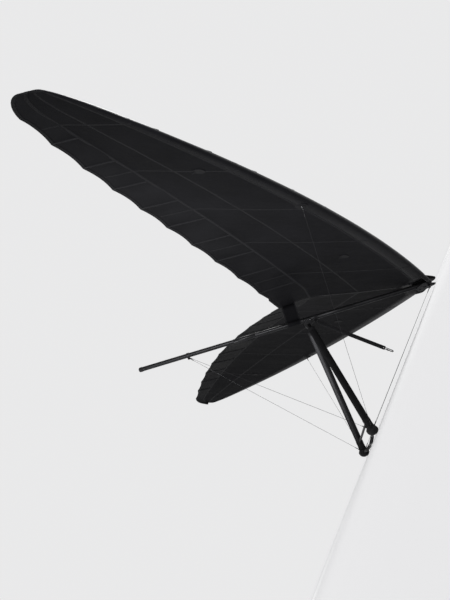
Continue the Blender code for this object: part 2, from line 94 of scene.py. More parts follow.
look = Vector((math.sin(TURN) * math.cos(LIFT), math.cos(TURN) * math.cos(LIFT), math.sin(LIFT)))
flat_x = look.cross(PLUMB).normalized()
flat_y = flat_x.cross(look)
cam_x = flat_x * math.cos(ROLL) + flat_y * math.sin(ROLL)
cam_y = flat_y * math.cos(ROLL) - flat_x * math.sin(ROLL)
camera_data = bpy.data.cameras.new("floor_camera")
camera_data.lens = LENS_MM
camera_data.sensor_width = SENSOR_MM
camera = add("floor_camera", camera_data)
camera.matrix_world = Matrix.Translation(EYE) @ Matrix((cam_x, cam_y, -look)).transposed().to_4x4()
bpy.context.scene.camera = camera
print("camera looks along", [round(v, 3) for v in look])

# %% [markdown]
# The studio is a wide pale floor under an even pale sky of nearly the same tone, so that the
# horizon melts away and a black wing reads by its outline. Black cloth shows its form only by
# what it reflects, so two low lamps with a narrow spread graze the underside of the wing and
# hardly touch the floor, and a third lights the front from above.

# %% Floor, sky and lamps
FLOOR_HALF = 60.0
SKY_COLOUR, SKY_STRENGTH = (0.86, 0.86, 0.865, 1), 0.95
floor_mesh = bpy.data.meshes.new("studio_floor")
floor_points = [(x * FLOOR_HALF, y * FLOOR_HALF, 0) for x, y in ((-1, -1), (1, -1), (1, 1), (-1, 1))]
floor_mesh.from_pydata(floor_points, [], [(0, 1, 2, 3)])
add("studio_floor", floor_mesh)

sky = bpy.data.worlds.new("pale_sky")
sky.use_nodes = True
backdrop = sky.node_tree.nodes["Background"].inputs
backdrop["Color"].default_value = SKY_COLOUR
backdrop["Strength"].default_value = SKY_STRENGTH
bpy.context.scene.world = sky
bpy.context.scene.view_settings.view_transform = "Standard"

LAMPS = [
    # name, place, aimed at, size, spread in degrees, watts
    ("lamp_tail", (-7.5, -4.5, 0.7), (-0.4, -1.8, 2.4), 1.6, 44, 80),
    ("lamp_tip", (-1.5, -10.0, 0.9), (0.2, -2.4, 2.2), 1.4, 44, 60),
    ("lamp_front", (6.5, 4.0, 7.0), (0.0, 0.0, 1.8), 2.0, 60, 40),
]
for name, place, target, size, spread_angle, watts in LAMPS:
    lamp_data = bpy.data.lights.new(name, "AREA")
    lamp_data.shape = "DISK"
    lamp_data.size = size
    lamp_data.spread = math.radians(spread_angle)
    lamp_data.energy = watts
    lamp = add(name, lamp_data)
    lamp.location = place
    lamp.rotation_euler = (Vector(target) - Vector(place)).to_track_quat("-Z", "Y").to_euler()
print("lamps:", [row[0] for row in LAMPS])

# %% [markdown]
# Every finish here is black, so the differences have to come from gloss, weave and wear. A
# small helper lays down one shader node, sets its values and joins its inputs, which keeps
# each finish short enough to read.

# %% Shader helpers
SPECULAR_TINT, COAT_ROUGHNESS = (0.35, 0.35, 0.36, 1), 0.25


def lay(tree, kind, inputs=None, **settings):
    """Add one shader node; inputs may be numbers, colours or other nodes' outputs."""
    made = tree.nodes.new(kind)
    for key, value in settings.items():
        setattr(made, key, value)
    for key, value in (inputs or {}).items():
        if isinstance(value, bpy.types.NodeSocket):
            tree.links.new(value, made.inputs[key])
        else:
            made.inputs[key].default_value = value
    return made


def sums(tree, operation, a, b=0.0, c=0.0):
    """One arithmetic step on numbers or sockets."""
    return lay(tree, "ShaderNodeMath", {0: a, 1: b, 2: c}, operation=operation).outputs[0]


def blacks(tree, dark, light, share):
    """A colour between two blacks, each given as (red and green, blue)."""
    ramp = lay(tree, "ShaderNodeMix", {"Factor": share}, data_type="RGBA")
    for socket, (grey, blue) in ((6, dark), (7, light)):
        ramp.inputs[socket].default_value = (grey, grey, blue, 1)
    return ramp.outputs[2]


def finish(name, specular, metallic=0.0, coat=0.0):
    """An empty Principled finish with its fixed sockets set."""
    made = bpy.data.materials.new(name)
    made.use_nodes = True
    shader = made.node_tree.nodes["Principled BSDF"]
    fixed = {
        "Metallic": metallic,
        "Specular IOR Level": specular,
        "Specular Tint": SPECULAR_TINT,
        "Coat Weight": coat,
        "Coat Roughness": COAT_ROUGHNESS,
    }
    for socket, value in fixed.items():
        shader.inputs[socket].default_value = value
    return made, made.node_tree, shader


def wire_up(tree, shader, colour, rough, height, depth):
    """Join colour, roughness and a height in metres to the shader."""
    tree.links.new(colour, shader.inputs["Base Color"])
    tree.links.new(rough, shader.inputs["Roughness"])
    bump = lay(tree, "ShaderNodeBump", {"Height": height, "Distance": depth, "Strength": 1.0})
    tree.links.new(bump.outputs["Normal"], shader.inputs["Normal"])


def cloud(tree, place, scale, detail=3.0, rough=0.55):
    """Soft noise from 0 to 1 with about that many spots to the metre."""
    inputs = {"Vector": place, "Scale": scale, "Detail": detail, "Roughness": rough}
    return lay(tree, "ShaderNodeTexNoise", inputs).outputs["Fac"]


def spread(tree, value, low, high, to_low=0.0, to_high=1.0):
    """Stretch one range of values to another."""
    inputs = {"Value": value, "From Min": low, "From Max": high, "To Min": to_low, "To Max": to_high}
    return lay(tree, "ShaderNodeMapRange", inputs).outputs["Result"]


def place_on(tree):
    """The place on the object, which doesn't move with a joint."""
    return lay(tree, "ShaderNodeTexCoord").outputs["Object"]


def axes_of_map(tree):
    """The two axes of the UV map in metres, and the place on the object."""
    plan = lay(tree, "ShaderNodeUVMap", uv_map="plan").outputs["UV"]
    axes = lay(tree, "ShaderNodeSeparateXYZ", {"Vector": plan}).outputs
    return axes["X"], axes["Y"], place_on(tree)


print("shader helpers ready")

# %% [markdown]
# Sailcloth is a tight plain weave with a heavier ripstop thread every few millimetres. The
# cloth pieces carry a UV map in real metres, across the span and along the chord, so the
# weave keeps its scale and turns with the wing. Sine waves make the threads, and two scales
# of noise make the handling creases and the faint bloom of used cloth.

# %% Woven sailcloth
CLOTH_RELIEF = 0.00012


def woven(name, thread, grid, dark, light, rough, specular, crease):
    """Cloth with a thread pitch and a ripstop grid, both in metres."""
    made, tree, shader = finish(name, specular)
    across, along, place = axes_of_map(tree)
    waves, ribs = [], []
    for axis in (across, along):
        waves.append(sums(tree, "SINE", sums(tree, "MULTIPLY", axis, math.tau / thread)))
        ribs.append(sums(tree, "LESS_THAN", sums(tree, "PINGPONG", axis, grid / 2), thread * 0.6))
    weave = sums(tree, "MULTIPLY", *waves)
    ripstop = sums(tree, "MAXIMUM", *ribs)
    bloom = cloud(tree, place, 1.3, 5.0, 0.6)
    creases = cloud(tree, place, 7.0, 4.0, 0.5)
    height = sums(tree, "MULTIPLY_ADD", weave, 0.5, sums(tree, "MULTIPLY", ripstop, 0.8))
    height = sums(tree, "MULTIPLY_ADD", creases, crease, height)
    tone = sums(tree, "MULTIPLY_ADD", ripstop, 0.25, spread(tree, bloom, 0.35, 0.7))
    gloss = spread(tree, bloom, 0.3, 0.7, *rough)
    wire_up(tree, shader, blacks(tree, dark, light, tone), gloss, height, CLOTH_RELIEF)
    return made


CLOTHS = [
    # name, thread, grid, dark, light, roughness, specular, crease
    ("black_sailcloth", 0.0009, 0.006, (0.0030, 0.0034), (0.0070, 0.0078), (0.40, 0.54), 0.012, 34.0),
    ("black_under_cloth", 0.0009, 0.008, (0.0026, 0.0030), (0.0060, 0.0068), (0.44, 0.58), 0.010, 42.0),
    ("black_laminate", 0.0030, 0.012, (0.0022, 0.0026), (0.0045, 0.0052), (0.24, 0.34), 0.025, 8.0),
]
sailcloth, under_cloth, laminate = [woven(*row) for row in CLOTHS]
print("cloths:", [row[0] for row in CLOTHS])

# %% [markdown]
# Tapes, webbing and bindings are narrow goods: a coarse diagonal rib with a row of stitches
# along each edge. Their UV map runs across the tape and along it, in metres from one edge,
# so a row of dashes can be drawn at a real distance from the edge.

# %% Narrow goods with stitch rows
TAPE_RELIEF, TAPE_SPECULAR, STITCH_HALF, STITCH_PITCH = 0.0003, 0.03, 0.0007, 0.006


def sewn(name, width, row, dark, light, rough, rib):
    """Tape with a zigzag row of stitches on each side, row metres from its middle."""
    made, tree, shader = finish(name, TAPE_SPECULAR)
    across, along, place = axes_of_map(tree)
    twill = sums(tree, "SINE", sums(tree, "MULTIPLY", sums(tree, "ADD", across, along), math.tau / rib))
    near = sums(tree, "ABSOLUTE", sums(tree, "SUBTRACT", sums(tree, "ABSOLUTE", across), row))
    zigzag = sums(tree, "SUBTRACT", near, sums(tree, "PINGPONG", along, STITCH_PITCH / 2))
    stitch = sums(tree, "LESS_THAN", sums(tree, "ABSOLUTE", zigzag), STITCH_HALF)
    stitch = sums(tree, "MULTIPLY", stitch, sums(tree, "LESS_THAN", near, width * 0.12))
    fuzz = cloud(tree, place, 60.0, 3.0)
    height = sums(tree, "MULTIPLY_ADD", twill, 0.35, sums(tree, "MULTIPLY", stitch, 1.6))
    tone = sums(tree, "MULTIPLY_ADD", stitch, 0.8, sums(tree, "MULTIPLY", fuzz, 0.45))
    gloss = spread(tree, fuzz, 0.3, 0.7, rough - 0.05, rough + 0.08)
    wire_up(tree, shader, blacks(tree, dark, light, tone), gloss, height, TAPE_RELIEF)
    return made


seam_tape = sewn("black_seam_tape", 0.018, 0.0055, (0.004, 0.0045), (0.014, 0.015), 0.52, 0.0016)
webbing = sewn("black_webbing", 0.045, 0.0175, (0.005, 0.0055), (0.018, 0.019), 0.60, 0.0030)
print("narrow goods:", seam_tape.name, webbing.name)

# %% [markdown]
# Hard pieces come in six blacks. Anodised tube is fine-grained and satin, machined fittings
# are a little brighter, moulded nylon is pebbled, foam is open and dull, steel wire is dark
# with bright scuffs, and polished steel is the smoothest. One function makes them all from
# noise at several scales and a mask of scuffs.

# %% Hard finishes
def hard(name, dark, light, rough, metallic, grain, grain_depth, scuffs, specular, coat):
    """A hard black surface: grain is spots to the metre, scuffs a share of bare marks."""
    made, tree, shader = finish(name, specular, metallic, coat)
    place = place_on(tree)
    fine = cloud(tree, place, grain, 2.0)
    broad = cloud(tree, place, 9.0, 5.0, 0.65)
    marks = spread(tree, cloud(tree, place, grain * 0.3, 6.0, 0.75), 0.62, 0.70)
    worn = sums(tree, "MULTIPLY", marks, spread(tree, broad, 0.45, 0.62))
    tone = sums(tree, "MULTIPLY_ADD", worn, scuffs, sums(tree, "MULTIPLY", broad, 0.35))
    gloss = spread(tree, sums(tree, "MULTIPLY_ADD", worn, 0.5, broad), 0.3, 0.9, *rough)
    colour = blacks(tree, (dark, dark * 1.08), (light, light * 1.05), tone)
    wire_up(tree, shader, colour, gloss, fine, grain_depth)
    return made


HARD = [
    # name, dark, light, roughness, metallic, grain, depth, scuffs, specular, coat
    ("black_anodised", 0.008, 0.034, (0.28, 0.42), 0.60, 420.0, 0.00004, 0.50, 0.25, 0.0),
    ("black_machined", 0.009, 0.050, (0.30, 0.46), 0.75, 900.0, 0.00005, 0.60, 0.25, 0.0),
    ("black_moulded", 0.005, 0.016, (0.42, 0.58), 0.0, 1300.0, 0.00012, 0.45, 0.22, 0.0),
    ("black_foam", 0.004, 0.010, (0.80, 0.95), 0.0, 700.0, 0.00035, 0.20, 0.15, 0.0),
    ("black_wire", 0.014, 0.080, (0.30, 0.45), 0.80, 1500.0, 0.00004, 0.50, 0.3, 0.0),
    ("black_steel", 0.011, 0.070, (0.20, 0.34), 0.85, 1000.0, 0.00003, 0.60, 0.3, 0.2),
]
anodised, machined, moulded, foam, stranded, steel = [hard(*row) for row in HARD]
print("hard finishes:", [row[0] for row in HARD])

# %% [markdown]
# The floor takes the simplest finish in the scene, a matt pale paint with the slightest
# unevenness, so that nothing competes with the wing.

# %% Floor finish
paint, tree, shader = finish("pale_floor", specular=0.0)
patchy = cloud(tree, place_on(tree), 0.8)
shade = blacks(tree, (0.965, 0.970), (0.985, 0.990), patchy)
tree.links.new(shade, shader.inputs["Base Color"])
tree.links.new(spread(tree, patchy, 0.3, 0.7, 0.88, 0.96), shader.inputs["Roughness"])
floor_mesh.materials.append(paint)
print("floor finish:", paint.name)

# %% [markdown]
# Most of a hang glider is either swept or turned: tubes, tapes, webbing, wires and cloth are
# all an outline carried along a path. So one function, sweep, does most of the modelling. It
# carries a closed outline along a path, keeps it square to the way the path runs, and writes
# the UV map in metres as it goes. A turned piece is a row of rings round an axis, and cloth is
# a row of open lines, and all three are joined up by one function. A table lists a slot for
# each finish and how sharp an edge has to be to show; the pieces take only the edge angle.

# %% Mesh helpers
MIN_RADIUS = 0.0002
GOODS = {
    # finish: slot, and the angle in degrees from which an edge stays sharp
    "black_anodised": ("tube", 30),
    "black_machined": ("fitting", 30),
    "black_steel": ("fitting", 32),
    "black_moulded": ("moulding", 35),
    "black_foam": ("moulding", 50),
    "black_wire": ("wire", 50),
    "black_webbing": ("webbing", 45),
    "black_seam_tape": ("sailcloth", 40),
    "black_sailcloth": ("sailcloth", 50),
    "black_under_cloth": ("sailcloth", 60),
    "black_laminate": ("sailcloth", 60),
}


def fresh(count):
    """That many empty meshes to build in."""
    return [bmesh.new() for _ in range(count)]


def square_to(d, hint=None):
    """A direction square to d, leant from the hint, which is up unless d itself is."""
    hint = hint or Vector((0, 0, 1) if abs(d.z) < 0.9 else (1, 0, 0))
    return (hint - d * hint.dot(d)).normalized()


def spokes(u, v, count, start=0.0):
    """Unit directions all the way round, from u towards v, the first at start degrees."""
    angles = [math.radians(start) + math.tau * k / count for k in range(count)]
    return [u * math.cos(a) + v * math.sin(a) for a in angles]


def mirrored(half):
    """Points of (across, along), and the same points back on the other side."""
    return half + [(-a, b) for a, b in reversed(half)]


def runs_along(path, closed):
    """The way a path runs at each of its points."""
    first, last = (path[-1], path[0]) if closed else (path[0], path[-1])
    return [(b - a).normalized() for a, b in zip([first, *path[:-1]], [*path[1:], last])]


def length_of(path):
    """Length of a line of points."""
    return sum((b - a).length for a, b in zip(path, path[1:]))


def carried_normals(path, closed):
    """Normals along a path that don't twist: each is the last one, leant to the new run."""
    normals = []
    for run in runs_along(path, closed):
        normals.append(square_to(run, normals[-1] if normals else None))
    return normals


def flat_normals(path, plane, closed=False):
    """Normals that lie in the plane of a flat path, so that a tape stands square to it."""
    return [run.cross(plane).normalized() for run in runs_along(path, closed)]


def flat_map(u, v):
    """A UV map laid flat along two directions."""
    return lambda place, column, row: (place.dot(u), place.dot(v))


def join_rows(bm, rows, uv_of, ring=True, closed=False):
    """Join rows of points or vertices with quads; a ring row closes on itself."""
    plan = bm.loops.layers.uv.get("plan") or bm.loops.layers.uv.new("plan")
    rows = [[p if isinstance(p, bmesh.types.BMVert) else bm.verts.new(p) for p in row] for row in rows]
    count = len(rows[0])
    for r in range(len(rows) - (not closed)):
        low, high = rows[r], rows[(r + 1) % len(rows)]
        for i in range(count - (not ring)):
            j = (i + 1) % count
            face = bm.faces.new((low[i], low[j], high[j], high[i]))
            for loop, column, row in zip(face.loops, (i, j, j, i), (r, r, r + 1, r + 1)):
                loop[plan].uv = uv_of(loop.vert.co, column, row)
    return rows


def join_and_cap(bm, rings, uv_of, closed=False):
    """Join rings, and fill the first and last unless the whole is closed."""
    rings = join_rows(bm, rings, uv_of, closed=closed)
    if not closed:
        bm.faces.new(rings[0][::-1])
        bm.faces.new(rings[-1])


def sweep(bm, path, outline, normals=None, closed=False, scales=None):
    """Carry a closed outline of (across, out) points along a path."""
    normals = normals or carried_normals(path, closed)
    normals = [normals] * len(path) if isinstance(normals, Vector) else normals
    scales = scales or [1.0] * len(path)
    rings, travelled = [], [0.0]
    for centre, run, normal, scale in zip(path, runs_along(path, closed), normals, scales):
        side = run.cross(normal).normalized()
        rings.append([centre + side * (a * scale) + normal * (o * scale) for a, o in outline])
    for a, b in zip(path, [*path[1:], path[0]]):
        travelled.append(travelled[-1] + (b - a).length)
    join_and_cap(bm, rings, lambda place, column, row: (outline[column][0], travelled[row]), closed)


def round_outline(radius, count):
    """A circle as outline points."""
    angles = [math.tau * i / count for i in range(count)]
    return [(radius * math.cos(a), radius * math.sin(a)) for a in angles]


def turn(bm, base, axis, rows, count):
    """Turn a profile of (distance along the axis, radius) rows."""
    d = axis.normalized()
    normal = square_to(d)
    side = d.cross(normal)
    around = spokes(side, normal, count)
    rings = [[base + d * h + out * max(r, MIN_RADIUS) for out in around] for h, r in rows]
    join_and_cap(bm, rings, flat_map(side, d))


def slab(bm, origin, u, v, outline, thick, bevel):
    """A flat plate: outline points in metres along u and v, centred on its thickness."""
    out = u.cross(v).normalized() * (thick / 2)
    flats = []
    for side in (-1, 1):
        flats.append(bm.faces.new([bm.verts.new(origin + u * a + v * b + out * side) for a, b in outline]))
    low, high = [list(flat.verts) for flat in flats]
    corners = zip(low, low[1:] + low[:1], high[1:] + high[:1], high)
    walls = [bm.faces.new(four) for four in corners]
    bmesh.ops.recalc_face_normals(bm, faces=flats + walls)
    if bevel:
        rims = [edge for flat in flats for edge in flat.edges]
        bmesh.ops.bevel(bm, geom=rims, offset=bevel, segments=2, affect="EDGES")


def rounded(width, height, corner, steps=4):
    """Outline of a plate with round corners, centred."""
    points = []
    for cx, cy, start in ((1, 1, 0), (-1, 1, 90), (-1, -1, 180), (1, -1, 270)):
        for i in range(steps + 1):
            a = math.radians(start + 90 * i / steps)
            x = cx * (width / 2 - corner) + corner * math.cos(a)
            points.append((x, cy * (height / 2 - corner) + corner * math.sin(a)))
    return points


def piece(name, bm, material, *stands_for, body="airframe", slot=None, sharp=None, thickness=0.0):
    """Make a bmesh a named piece that rides on a body and may stand for CAD nodes."""
    usual_slot, usual_sharp = GOODS[material.name]
    bmesh.ops.recalc_face_normals(bm, faces=bm.faces)
    mesh = bpy.data.meshes.new(name)
    bm.to_mesh(mesh)
    bm.free()
    mesh.shade_smooth()
    mesh.set_sharp_from_angle(angle=math.radians(sharp or usual_sharp))
    mesh.materials.append(material)
    made = add(name, mesh)
    if thickness:
        solid = made.modifiers.new("cloth_thickness", "SOLIDIFY")
        solid.thickness = thickness
        solid.offset = -1.0
    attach(made, body)
    if stands_for:
        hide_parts(*stands_for)
    return made


print("mesh helpers ready")

# %% [markdown]
# The wing's shape is written as the sailmaker would: where the leading and trailing edges
# run, and one aerofoil scaled to every chord. The aerofoil is given at a few stations and
# drawn through them with a smooth curve. The stations are spaced by the square root of
# the distance along the chord, because that makes a round nose easy to draw.

# %% Wing plan and aerofoil
HALF_SPAN = 4.80
LE_SLOPE, LE_CURVE, LE_RISE, LE_RISE_CURVE = 0.412, 0.0435, 0.076, 0.0057
TE_ROOT, TE_SLOPE, TE_CURVE, TE_CUBE = 1.727, 0.4155, -0.0056, -0.0026
TWIST = (7.6, 20.0, -15.1)
NOTCH_AFT, NOTCH_Y, ROOT_LIFT = 0.22, 0.26, 0.055
TIP_ROUND_Y, TIP_ROUND_LE, TIP_ROUND_TE = 4.42, 0.05, 0.20
BATTEN_STEP, BATTENS, SCALLOP, SCALLOP_FROM = 0.45, 9, 0.020, 0.84
BILLOW, BILLOW_UNDER, CREASE, CREASES = 0.006, -0.4, 0.0011, (3.1, 9.0)
CLOTH = 0.0007
AEROFOIL = [
    # along the chord, top, under, as shares of the chord
    (0.000, 0.000, 0.000),
    (0.010, 0.021, -0.011),
    (0.035, 0.042, -0.016),
    (0.080, 0.064, -0.017),
    (0.160, 0.086, -0.011),
    (0.280, 0.099, -0.003),
    (0.430, 0.095, 0.008),
    (0.600, 0.073, 0.026),
    (0.780, 0.039, 0.037),
    (1.000, 0.000, -0.002),
]
ROWS = {
    "top": [(math.sqrt(along), top) for along, top, under in AEROFOIL],
    "under": [(math.sqrt(along), under) for along, top, under in AEROFOIL],
}


def plain_edge(y):
    """How far aft the leading edge is, without the notch at the nose."""
    return LE_SLOPE * abs(y) + LE_CURVE * y * y


def edges(y):
    """Leading and trailing edge at a span station, as (aft, height)."""
    y = abs(y)
    le = Vector((plain_edge(y), LE_RISE * y + LE_RISE_CURVE * y * y))
    te = Vector((TE_ROOT + TE_SLOPE * y + TE_CURVE * y**2 + TE_CUBE * y**3, 0))
    out = y / HALF_SPAN
    lean = Vector((1, math.tan(math.radians(TWIST[0] + TWIST[1] * out + TWIST[2] * out * out))))
    te.y = le.y + (te.x - le.x) * lean.y
    if y < NOTCH_Y:
        le += Vector((NOTCH_AFT, ROOT_LIFT)) * (1 - y / NOTCH_Y)
    if y > TIP_ROUND_Y:
        past = min(1.0, (y - TIP_ROUND_Y) / (HALF_SPAN - TIP_ROUND_Y))
        rounding = 1 - math.sqrt(1 - past * past)
        le += lean * (TIP_ROUND_LE * rounding)
        te -= lean * (TIP_ROUND_TE * rounding)
    return le, te


def chord_at(y):
    """Length of the chord at a span station."""
    le, te = edges(y)
    return (te - le).length


def through(rows, x):
    """Height at x on a smooth curve through (x, height) rows."""
    last = len(rows) - 1
    i = next((k for k in range(last) if x <= rows[k + 1][0]), last - 1)
    (x0, h0), (x1, h1) = rows[i], rows[i + 1]
    before, after = rows[max(i - 1, 0)], rows[min(i + 2, last)]
    lean0 = (h1 - before[1]) / (x1 - before[0])
    lean1 = (after[1] - h0) / (after[0] - x0)
    t, gap = (x - x0) / (x1 - x0), x1 - x0
    start = h0 * (1 + 2 * t) * (1 - t) ** 2 + lean0 * gap * t * (1 - t) ** 2
    return start + h1 * t * t * (3 - 2 * t) + lean1 * gap * t * t * (t - 1)


def skin(y, s, side, out=0.0):
    """A point of the sail: y across the span, s along the chord, out square to the chord."""
    le, te = edges(y)
    chord = te - le
    length = chord.length
    normal = Vector((-chord.y, chord.x)) / length
    share = abs(y) / BATTEN_STEP % 1
    hollow = 4 * share * (1 - share)
    slack = min(1.0, length) * BILLOW * hollow * math.sin(math.pi * min(1.0, s / 0.96))
    ripple = noise.noise(Vector((y * CREASES[0], s * CREASES[1], 2.0 if side == "top" else 7.0)))
    height = through(ROWS[side], math.sqrt(s)) * length
    height += CREASE * ripple * min(1.0, s * 8) - slack * (1 if side == "top" else BILLOW_UNDER)
    place = le + chord * s + normal * (height + out)
    if NOTCH_Y < abs(y) < TIP_ROUND_Y and s > SCALLOP_FROM:
        place.x -= SCALLOP * hollow * ((s - SCALLOP_FROM) / (1 - SCALLOP_FROM)) ** 1.5
    return at(place.x, y, place.y)


def skin_normal(y, s, side):
    """The way out of the cloth at one place."""
    near = 0.003
    ahead, behind = skin(y, max(s - near, 0.0), side), skin(y, min(s + near, 1.0), side)
    left, right = skin(y - near, s, side), skin(y + near, s, side)
    out = (ahead - behind).cross(right - left).normalized()
    return out if out.dot(UP) * (1 if side == "top" else -1) > 0 else -out


for y in (0.3, 2.5, HALF_SPAN):
    print("chord at", y, "is", round(chord_at(y), 3))

# %% [markdown]
# The sail itself is three sheets. A glossy laminate wraps the leading edge from the top of
# the wing round to its under side. Behind it the top sheet runs to the trailing edge, and
# the under sheet stops three quarters of the way back, where it is hooked up to the top.
# Each sheet is a grid of points on the aerofoil, with more stations where the tip rounds
# off, and Solidify gives it the thickness of cloth.

# %% The three sheets of the sail
STATION_STEP, TIP_ANGLES = 0.045, (8, 17, 26, 35, 44, 52, 60, 67, 73, 79, 84, 87, 90)
WRAP_TOP, WRAP_UNDER, UNDER_END, OVERLAP = 0.22, 0.09, 0.775, 0.012
WRAP_LIFT = 0.0008
half_stations = [STATION_STEP * k for k in range(99)]
half_stations += [TIP_ROUND_Y + (HALF_SPAN - TIP_ROUND_Y) * math.sin(math.radians(a)) for a in TIP_ANGLES]
stations = [-y for y in reversed(half_stations[1:])] + half_stations


def uncut(share, y):
    """A chord share as it would be without the notch at the nose."""
    le, te = edges(y)
    plain = plain_edge(y)
    return share if abs(y) > NOTCH_Y else (plain + share * (te.x - plain) - le.x) / (te.x - le.x)


def past_notch(s, side, y):
    """Shift a top row at the notch, so that the edge of the wrap stays a straight line."""
    border = uncut(WRAP_TOP, y)
    if side == "under":
        return s
    return s * border / WRAP_TOP if s < WRAP_TOP else border + (s - WRAP_TOP) * (1 - border) / (1 - WRAP_TOP)


def spaced(start, stop, count):
    """Evenly spaced numbers, both ends among them."""
    return [start + (stop - start) * i / count for i in range(count + 1)]


def sheet(name, rows, material, *stands_for, lift=0.0):
    """A cloth over the whole span, from rows of (chord share, side)."""
    lines, plan = [], []
    for y in stations:
        signs = [1 if side == "top" else -1 for s, side in rows]
        shares = [past_notch(s, side, y) for s, side in rows]
        lines.append([skin(y, s, row[1], lift * sign) for s, row, sign in zip(shares, rows, signs)])
        plan.append([(y, s * chord_at(y) * sign) for s, sign in zip(shares, signs)])
    bm = bmesh.new()
    join_rows(bm, lines, lambda place, column, row: plan[row][column], ring=False)
    return piece(name, bm, material, *stands_for, sharp=60, thickness=CLOTH)


wrap_rows = [(WRAP_TOP * (1 - i / 16) ** 2, "top") for i in range(17)]
wrap_rows += [(WRAP_UNDER * (i / 10) ** 2, "under") for i in range(1, 11)]
top_rows = [(s, "top") for s in spaced(WRAP_TOP - OVERLAP, 1.0, 40)]
under_rows = [(s, "under") for s in spaced(WRAP_UNDER - OVERLAP, UNDER_END, 30)]
wrap = sheet("leading_edge_wrap", wrap_rows, laminate, lift=WRAP_LIFT)
top_sheet = sheet("sail_top_sheet", top_rows, sailcloth, "sail_port", "sail_starboard")
under_sheet = sheet("sail_under_sheet", under_rows, under_cloth)
print("stations:", len(stations), "rows:", len(wrap_rows), len(top_rows), len(under_rows))

# %% [markdown]
# The ribs of this wing are battens: alloy tubes slid into long pockets. On top the pocket is
# a low ridge from the nose to the trailing edge. Underneath it shows only behind the under
# sheet. A pocket is a tape with a hump in it, so it is swept along the batten line with a
# humped outline, and its normals are the cloth's own.

# %% Batten pockets
TAPE_FOOT, TAPE_EDGE = 0.0004, 0.0008


def humped(width, hump_width, hump):
    """Outline of a tape with a round hump along its middle."""
    half, inner = width / 2, hump_width / 2
    angles = [math.radians(a) for a in range(0, 81, 20)]
    bump = [(inner * math.cos(a), TAPE_EDGE + (hump - TAPE_EDGE) * math.sin(a)) for a in angles]
    return mirrored([(half, -TAPE_FOOT), (half, TAPE_EDGE * 0.6), (half - 0.001, TAPE_EDGE), *bump])


def on_skin(places, side, out):
    """Path and normals over places of (y, s); a negative out puts them below the cloth."""
    facing = -1 if side == "top" and out < 0 else 1
    path = [skin(y, s, side, out) for y, s in places]
    return path, [skin_normal(y, s, side) * facing for y, s in places]


def along_chord(y, start, stop, count):
    """Places of (y, s) along the chord at one span station."""
    return [(y, s) for s in spaced(start, stop, count)]


batten_stations = [hand * BATTEN_STEP * k for hand in (1, -1) for k in range(1, BATTENS + 1)]
POCKETS = [
    # name, chord shares, steps, out, width, hump's width and height
    ("top", 0.045, 0.988, 36, 0.0010, 0.030, 0.013, 0.0042),
    ("rear", 0.755, 0.985, 12, -0.0010, 0.032, 0.014, 0.0066),
]
for name, start, stop, count, out, *shape in POCKETS:
    pockets = bmesh.new()
    for y in batten_stations:
        path, normals = on_skin(along_chord(y, start, stop, count), "top", out)
        sweep(pockets, path, humped(*shape), normals)
    piece(f"batten_pockets_{name}", pockets, seam_tape)
print("battens:", len(batten_stations))

# %% [markdown]
# Panels are sewn edge over edge. A seam shows as a strip of double cloth with two zigzag
# rows. The chordwise seams lie between battens, and spanwise seams close off the
# leading-edge wrap and the stiff band along the trailing edge. They are thin tapes, swept on
# both skins.

# %% Panel seams
SEAM_FIRST, SEAM_STEP, SEAM_WIDTH, SEAM_THICK = 0.675, 0.90, 0.018, 0.0009
SEAM_SPAN, SPAN_STEPS = 4.77, 212
seam_stations = [hand * (SEAM_FIRST + SEAM_STEP * k) for hand in (1, -1) for k in range(5)]


def flat_tape(width, thick, foot=0.0003):
    """Outline of a flat tape that sits on cloth."""
    half = width / 2
    return mirrored([(half, -foot), (half, thick * 0.7), (half - 0.0006, thick)])


CHORD_SEAMS = [
    # skin, chord shares, steps, out
    ("top", 0.030, 0.985, 34, 0.0009),
    ("under", 0.020, UNDER_END, 28, -0.0009),
    ("top", UNDER_END, 0.985, 8, -0.0012),
]
SPAN_SEAMS = [
    # chord share, skin, out
    (WRAP_TOP, "top", WRAP_LIFT),
    (WRAP_UNDER, "under", -WRAP_LIFT),
    (0.42, "top", 0.0),
    (0.48, "under", 0.0),
]
seams = bmesh.new()
strip = flat_tape(SEAM_WIDTH, SEAM_THICK)
for y in seam_stations:
    for side, start, stop, count, out in CHORD_SEAMS:
        path, normals = on_skin(along_chord(y, start, stop, count), side, out)
        sweep(seams, path, strip, normals)
for share, side, out in SPAN_SEAMS:
    ys = spaced(-SEAM_SPAN, SEAM_SPAN, SPAN_STEPS)
    path, normals = on_skin([(y, share if share == WRAP_UNDER else uncut(share, y)) for y in ys], side, out)
    sweep(seams, path, strip, normals)
piece("panel_seams", seams, seam_tape)
print("chordwise seams:", len(seam_stations), "spanwise:", len(SPAN_SEAMS))

# %% [markdown]
# The trailing edge is bound with a folded tape, and so is the back of the under sheet. Both
# are swept along the span. The binding's outline is a thin loop that wraps the cloth.

# %% Bindings
TE_BAND, TE_THICK, HEM_THICK, HEM_SPAN = 0.026, 0.0032, 0.0014, 4.76
FOLD = [(0.0, -0.5), (0.0, 0.5), (0.1, 0.75), (1.0, 0.6), (1.0, -0.6), (0.1, -0.75)]
bound = bmesh.new()
edge_path = [skin(y, 1.0, "top", -CLOTH / 2) for y in stations]
fold = [(-TE_BAND * a, TE_THICK * o) for a, o in FOLD]
sweep(bound, edge_path, fold, [skin_normal(y, 0.995, "top") for y in stations])
hem = [(y, UNDER_END - 0.004) for y in spaced(-HEM_SPAN, HEM_SPAN, SPAN_STEPS)]
path, normals = on_skin(hem, "under", -0.0006)
sweep(bound, path, flat_tape(TE_BAND, HEM_THICK), normals)
piece("edge_binding", bound, seam_tape)
print("bound edge", round(length_of(edge_path), 2), "m")

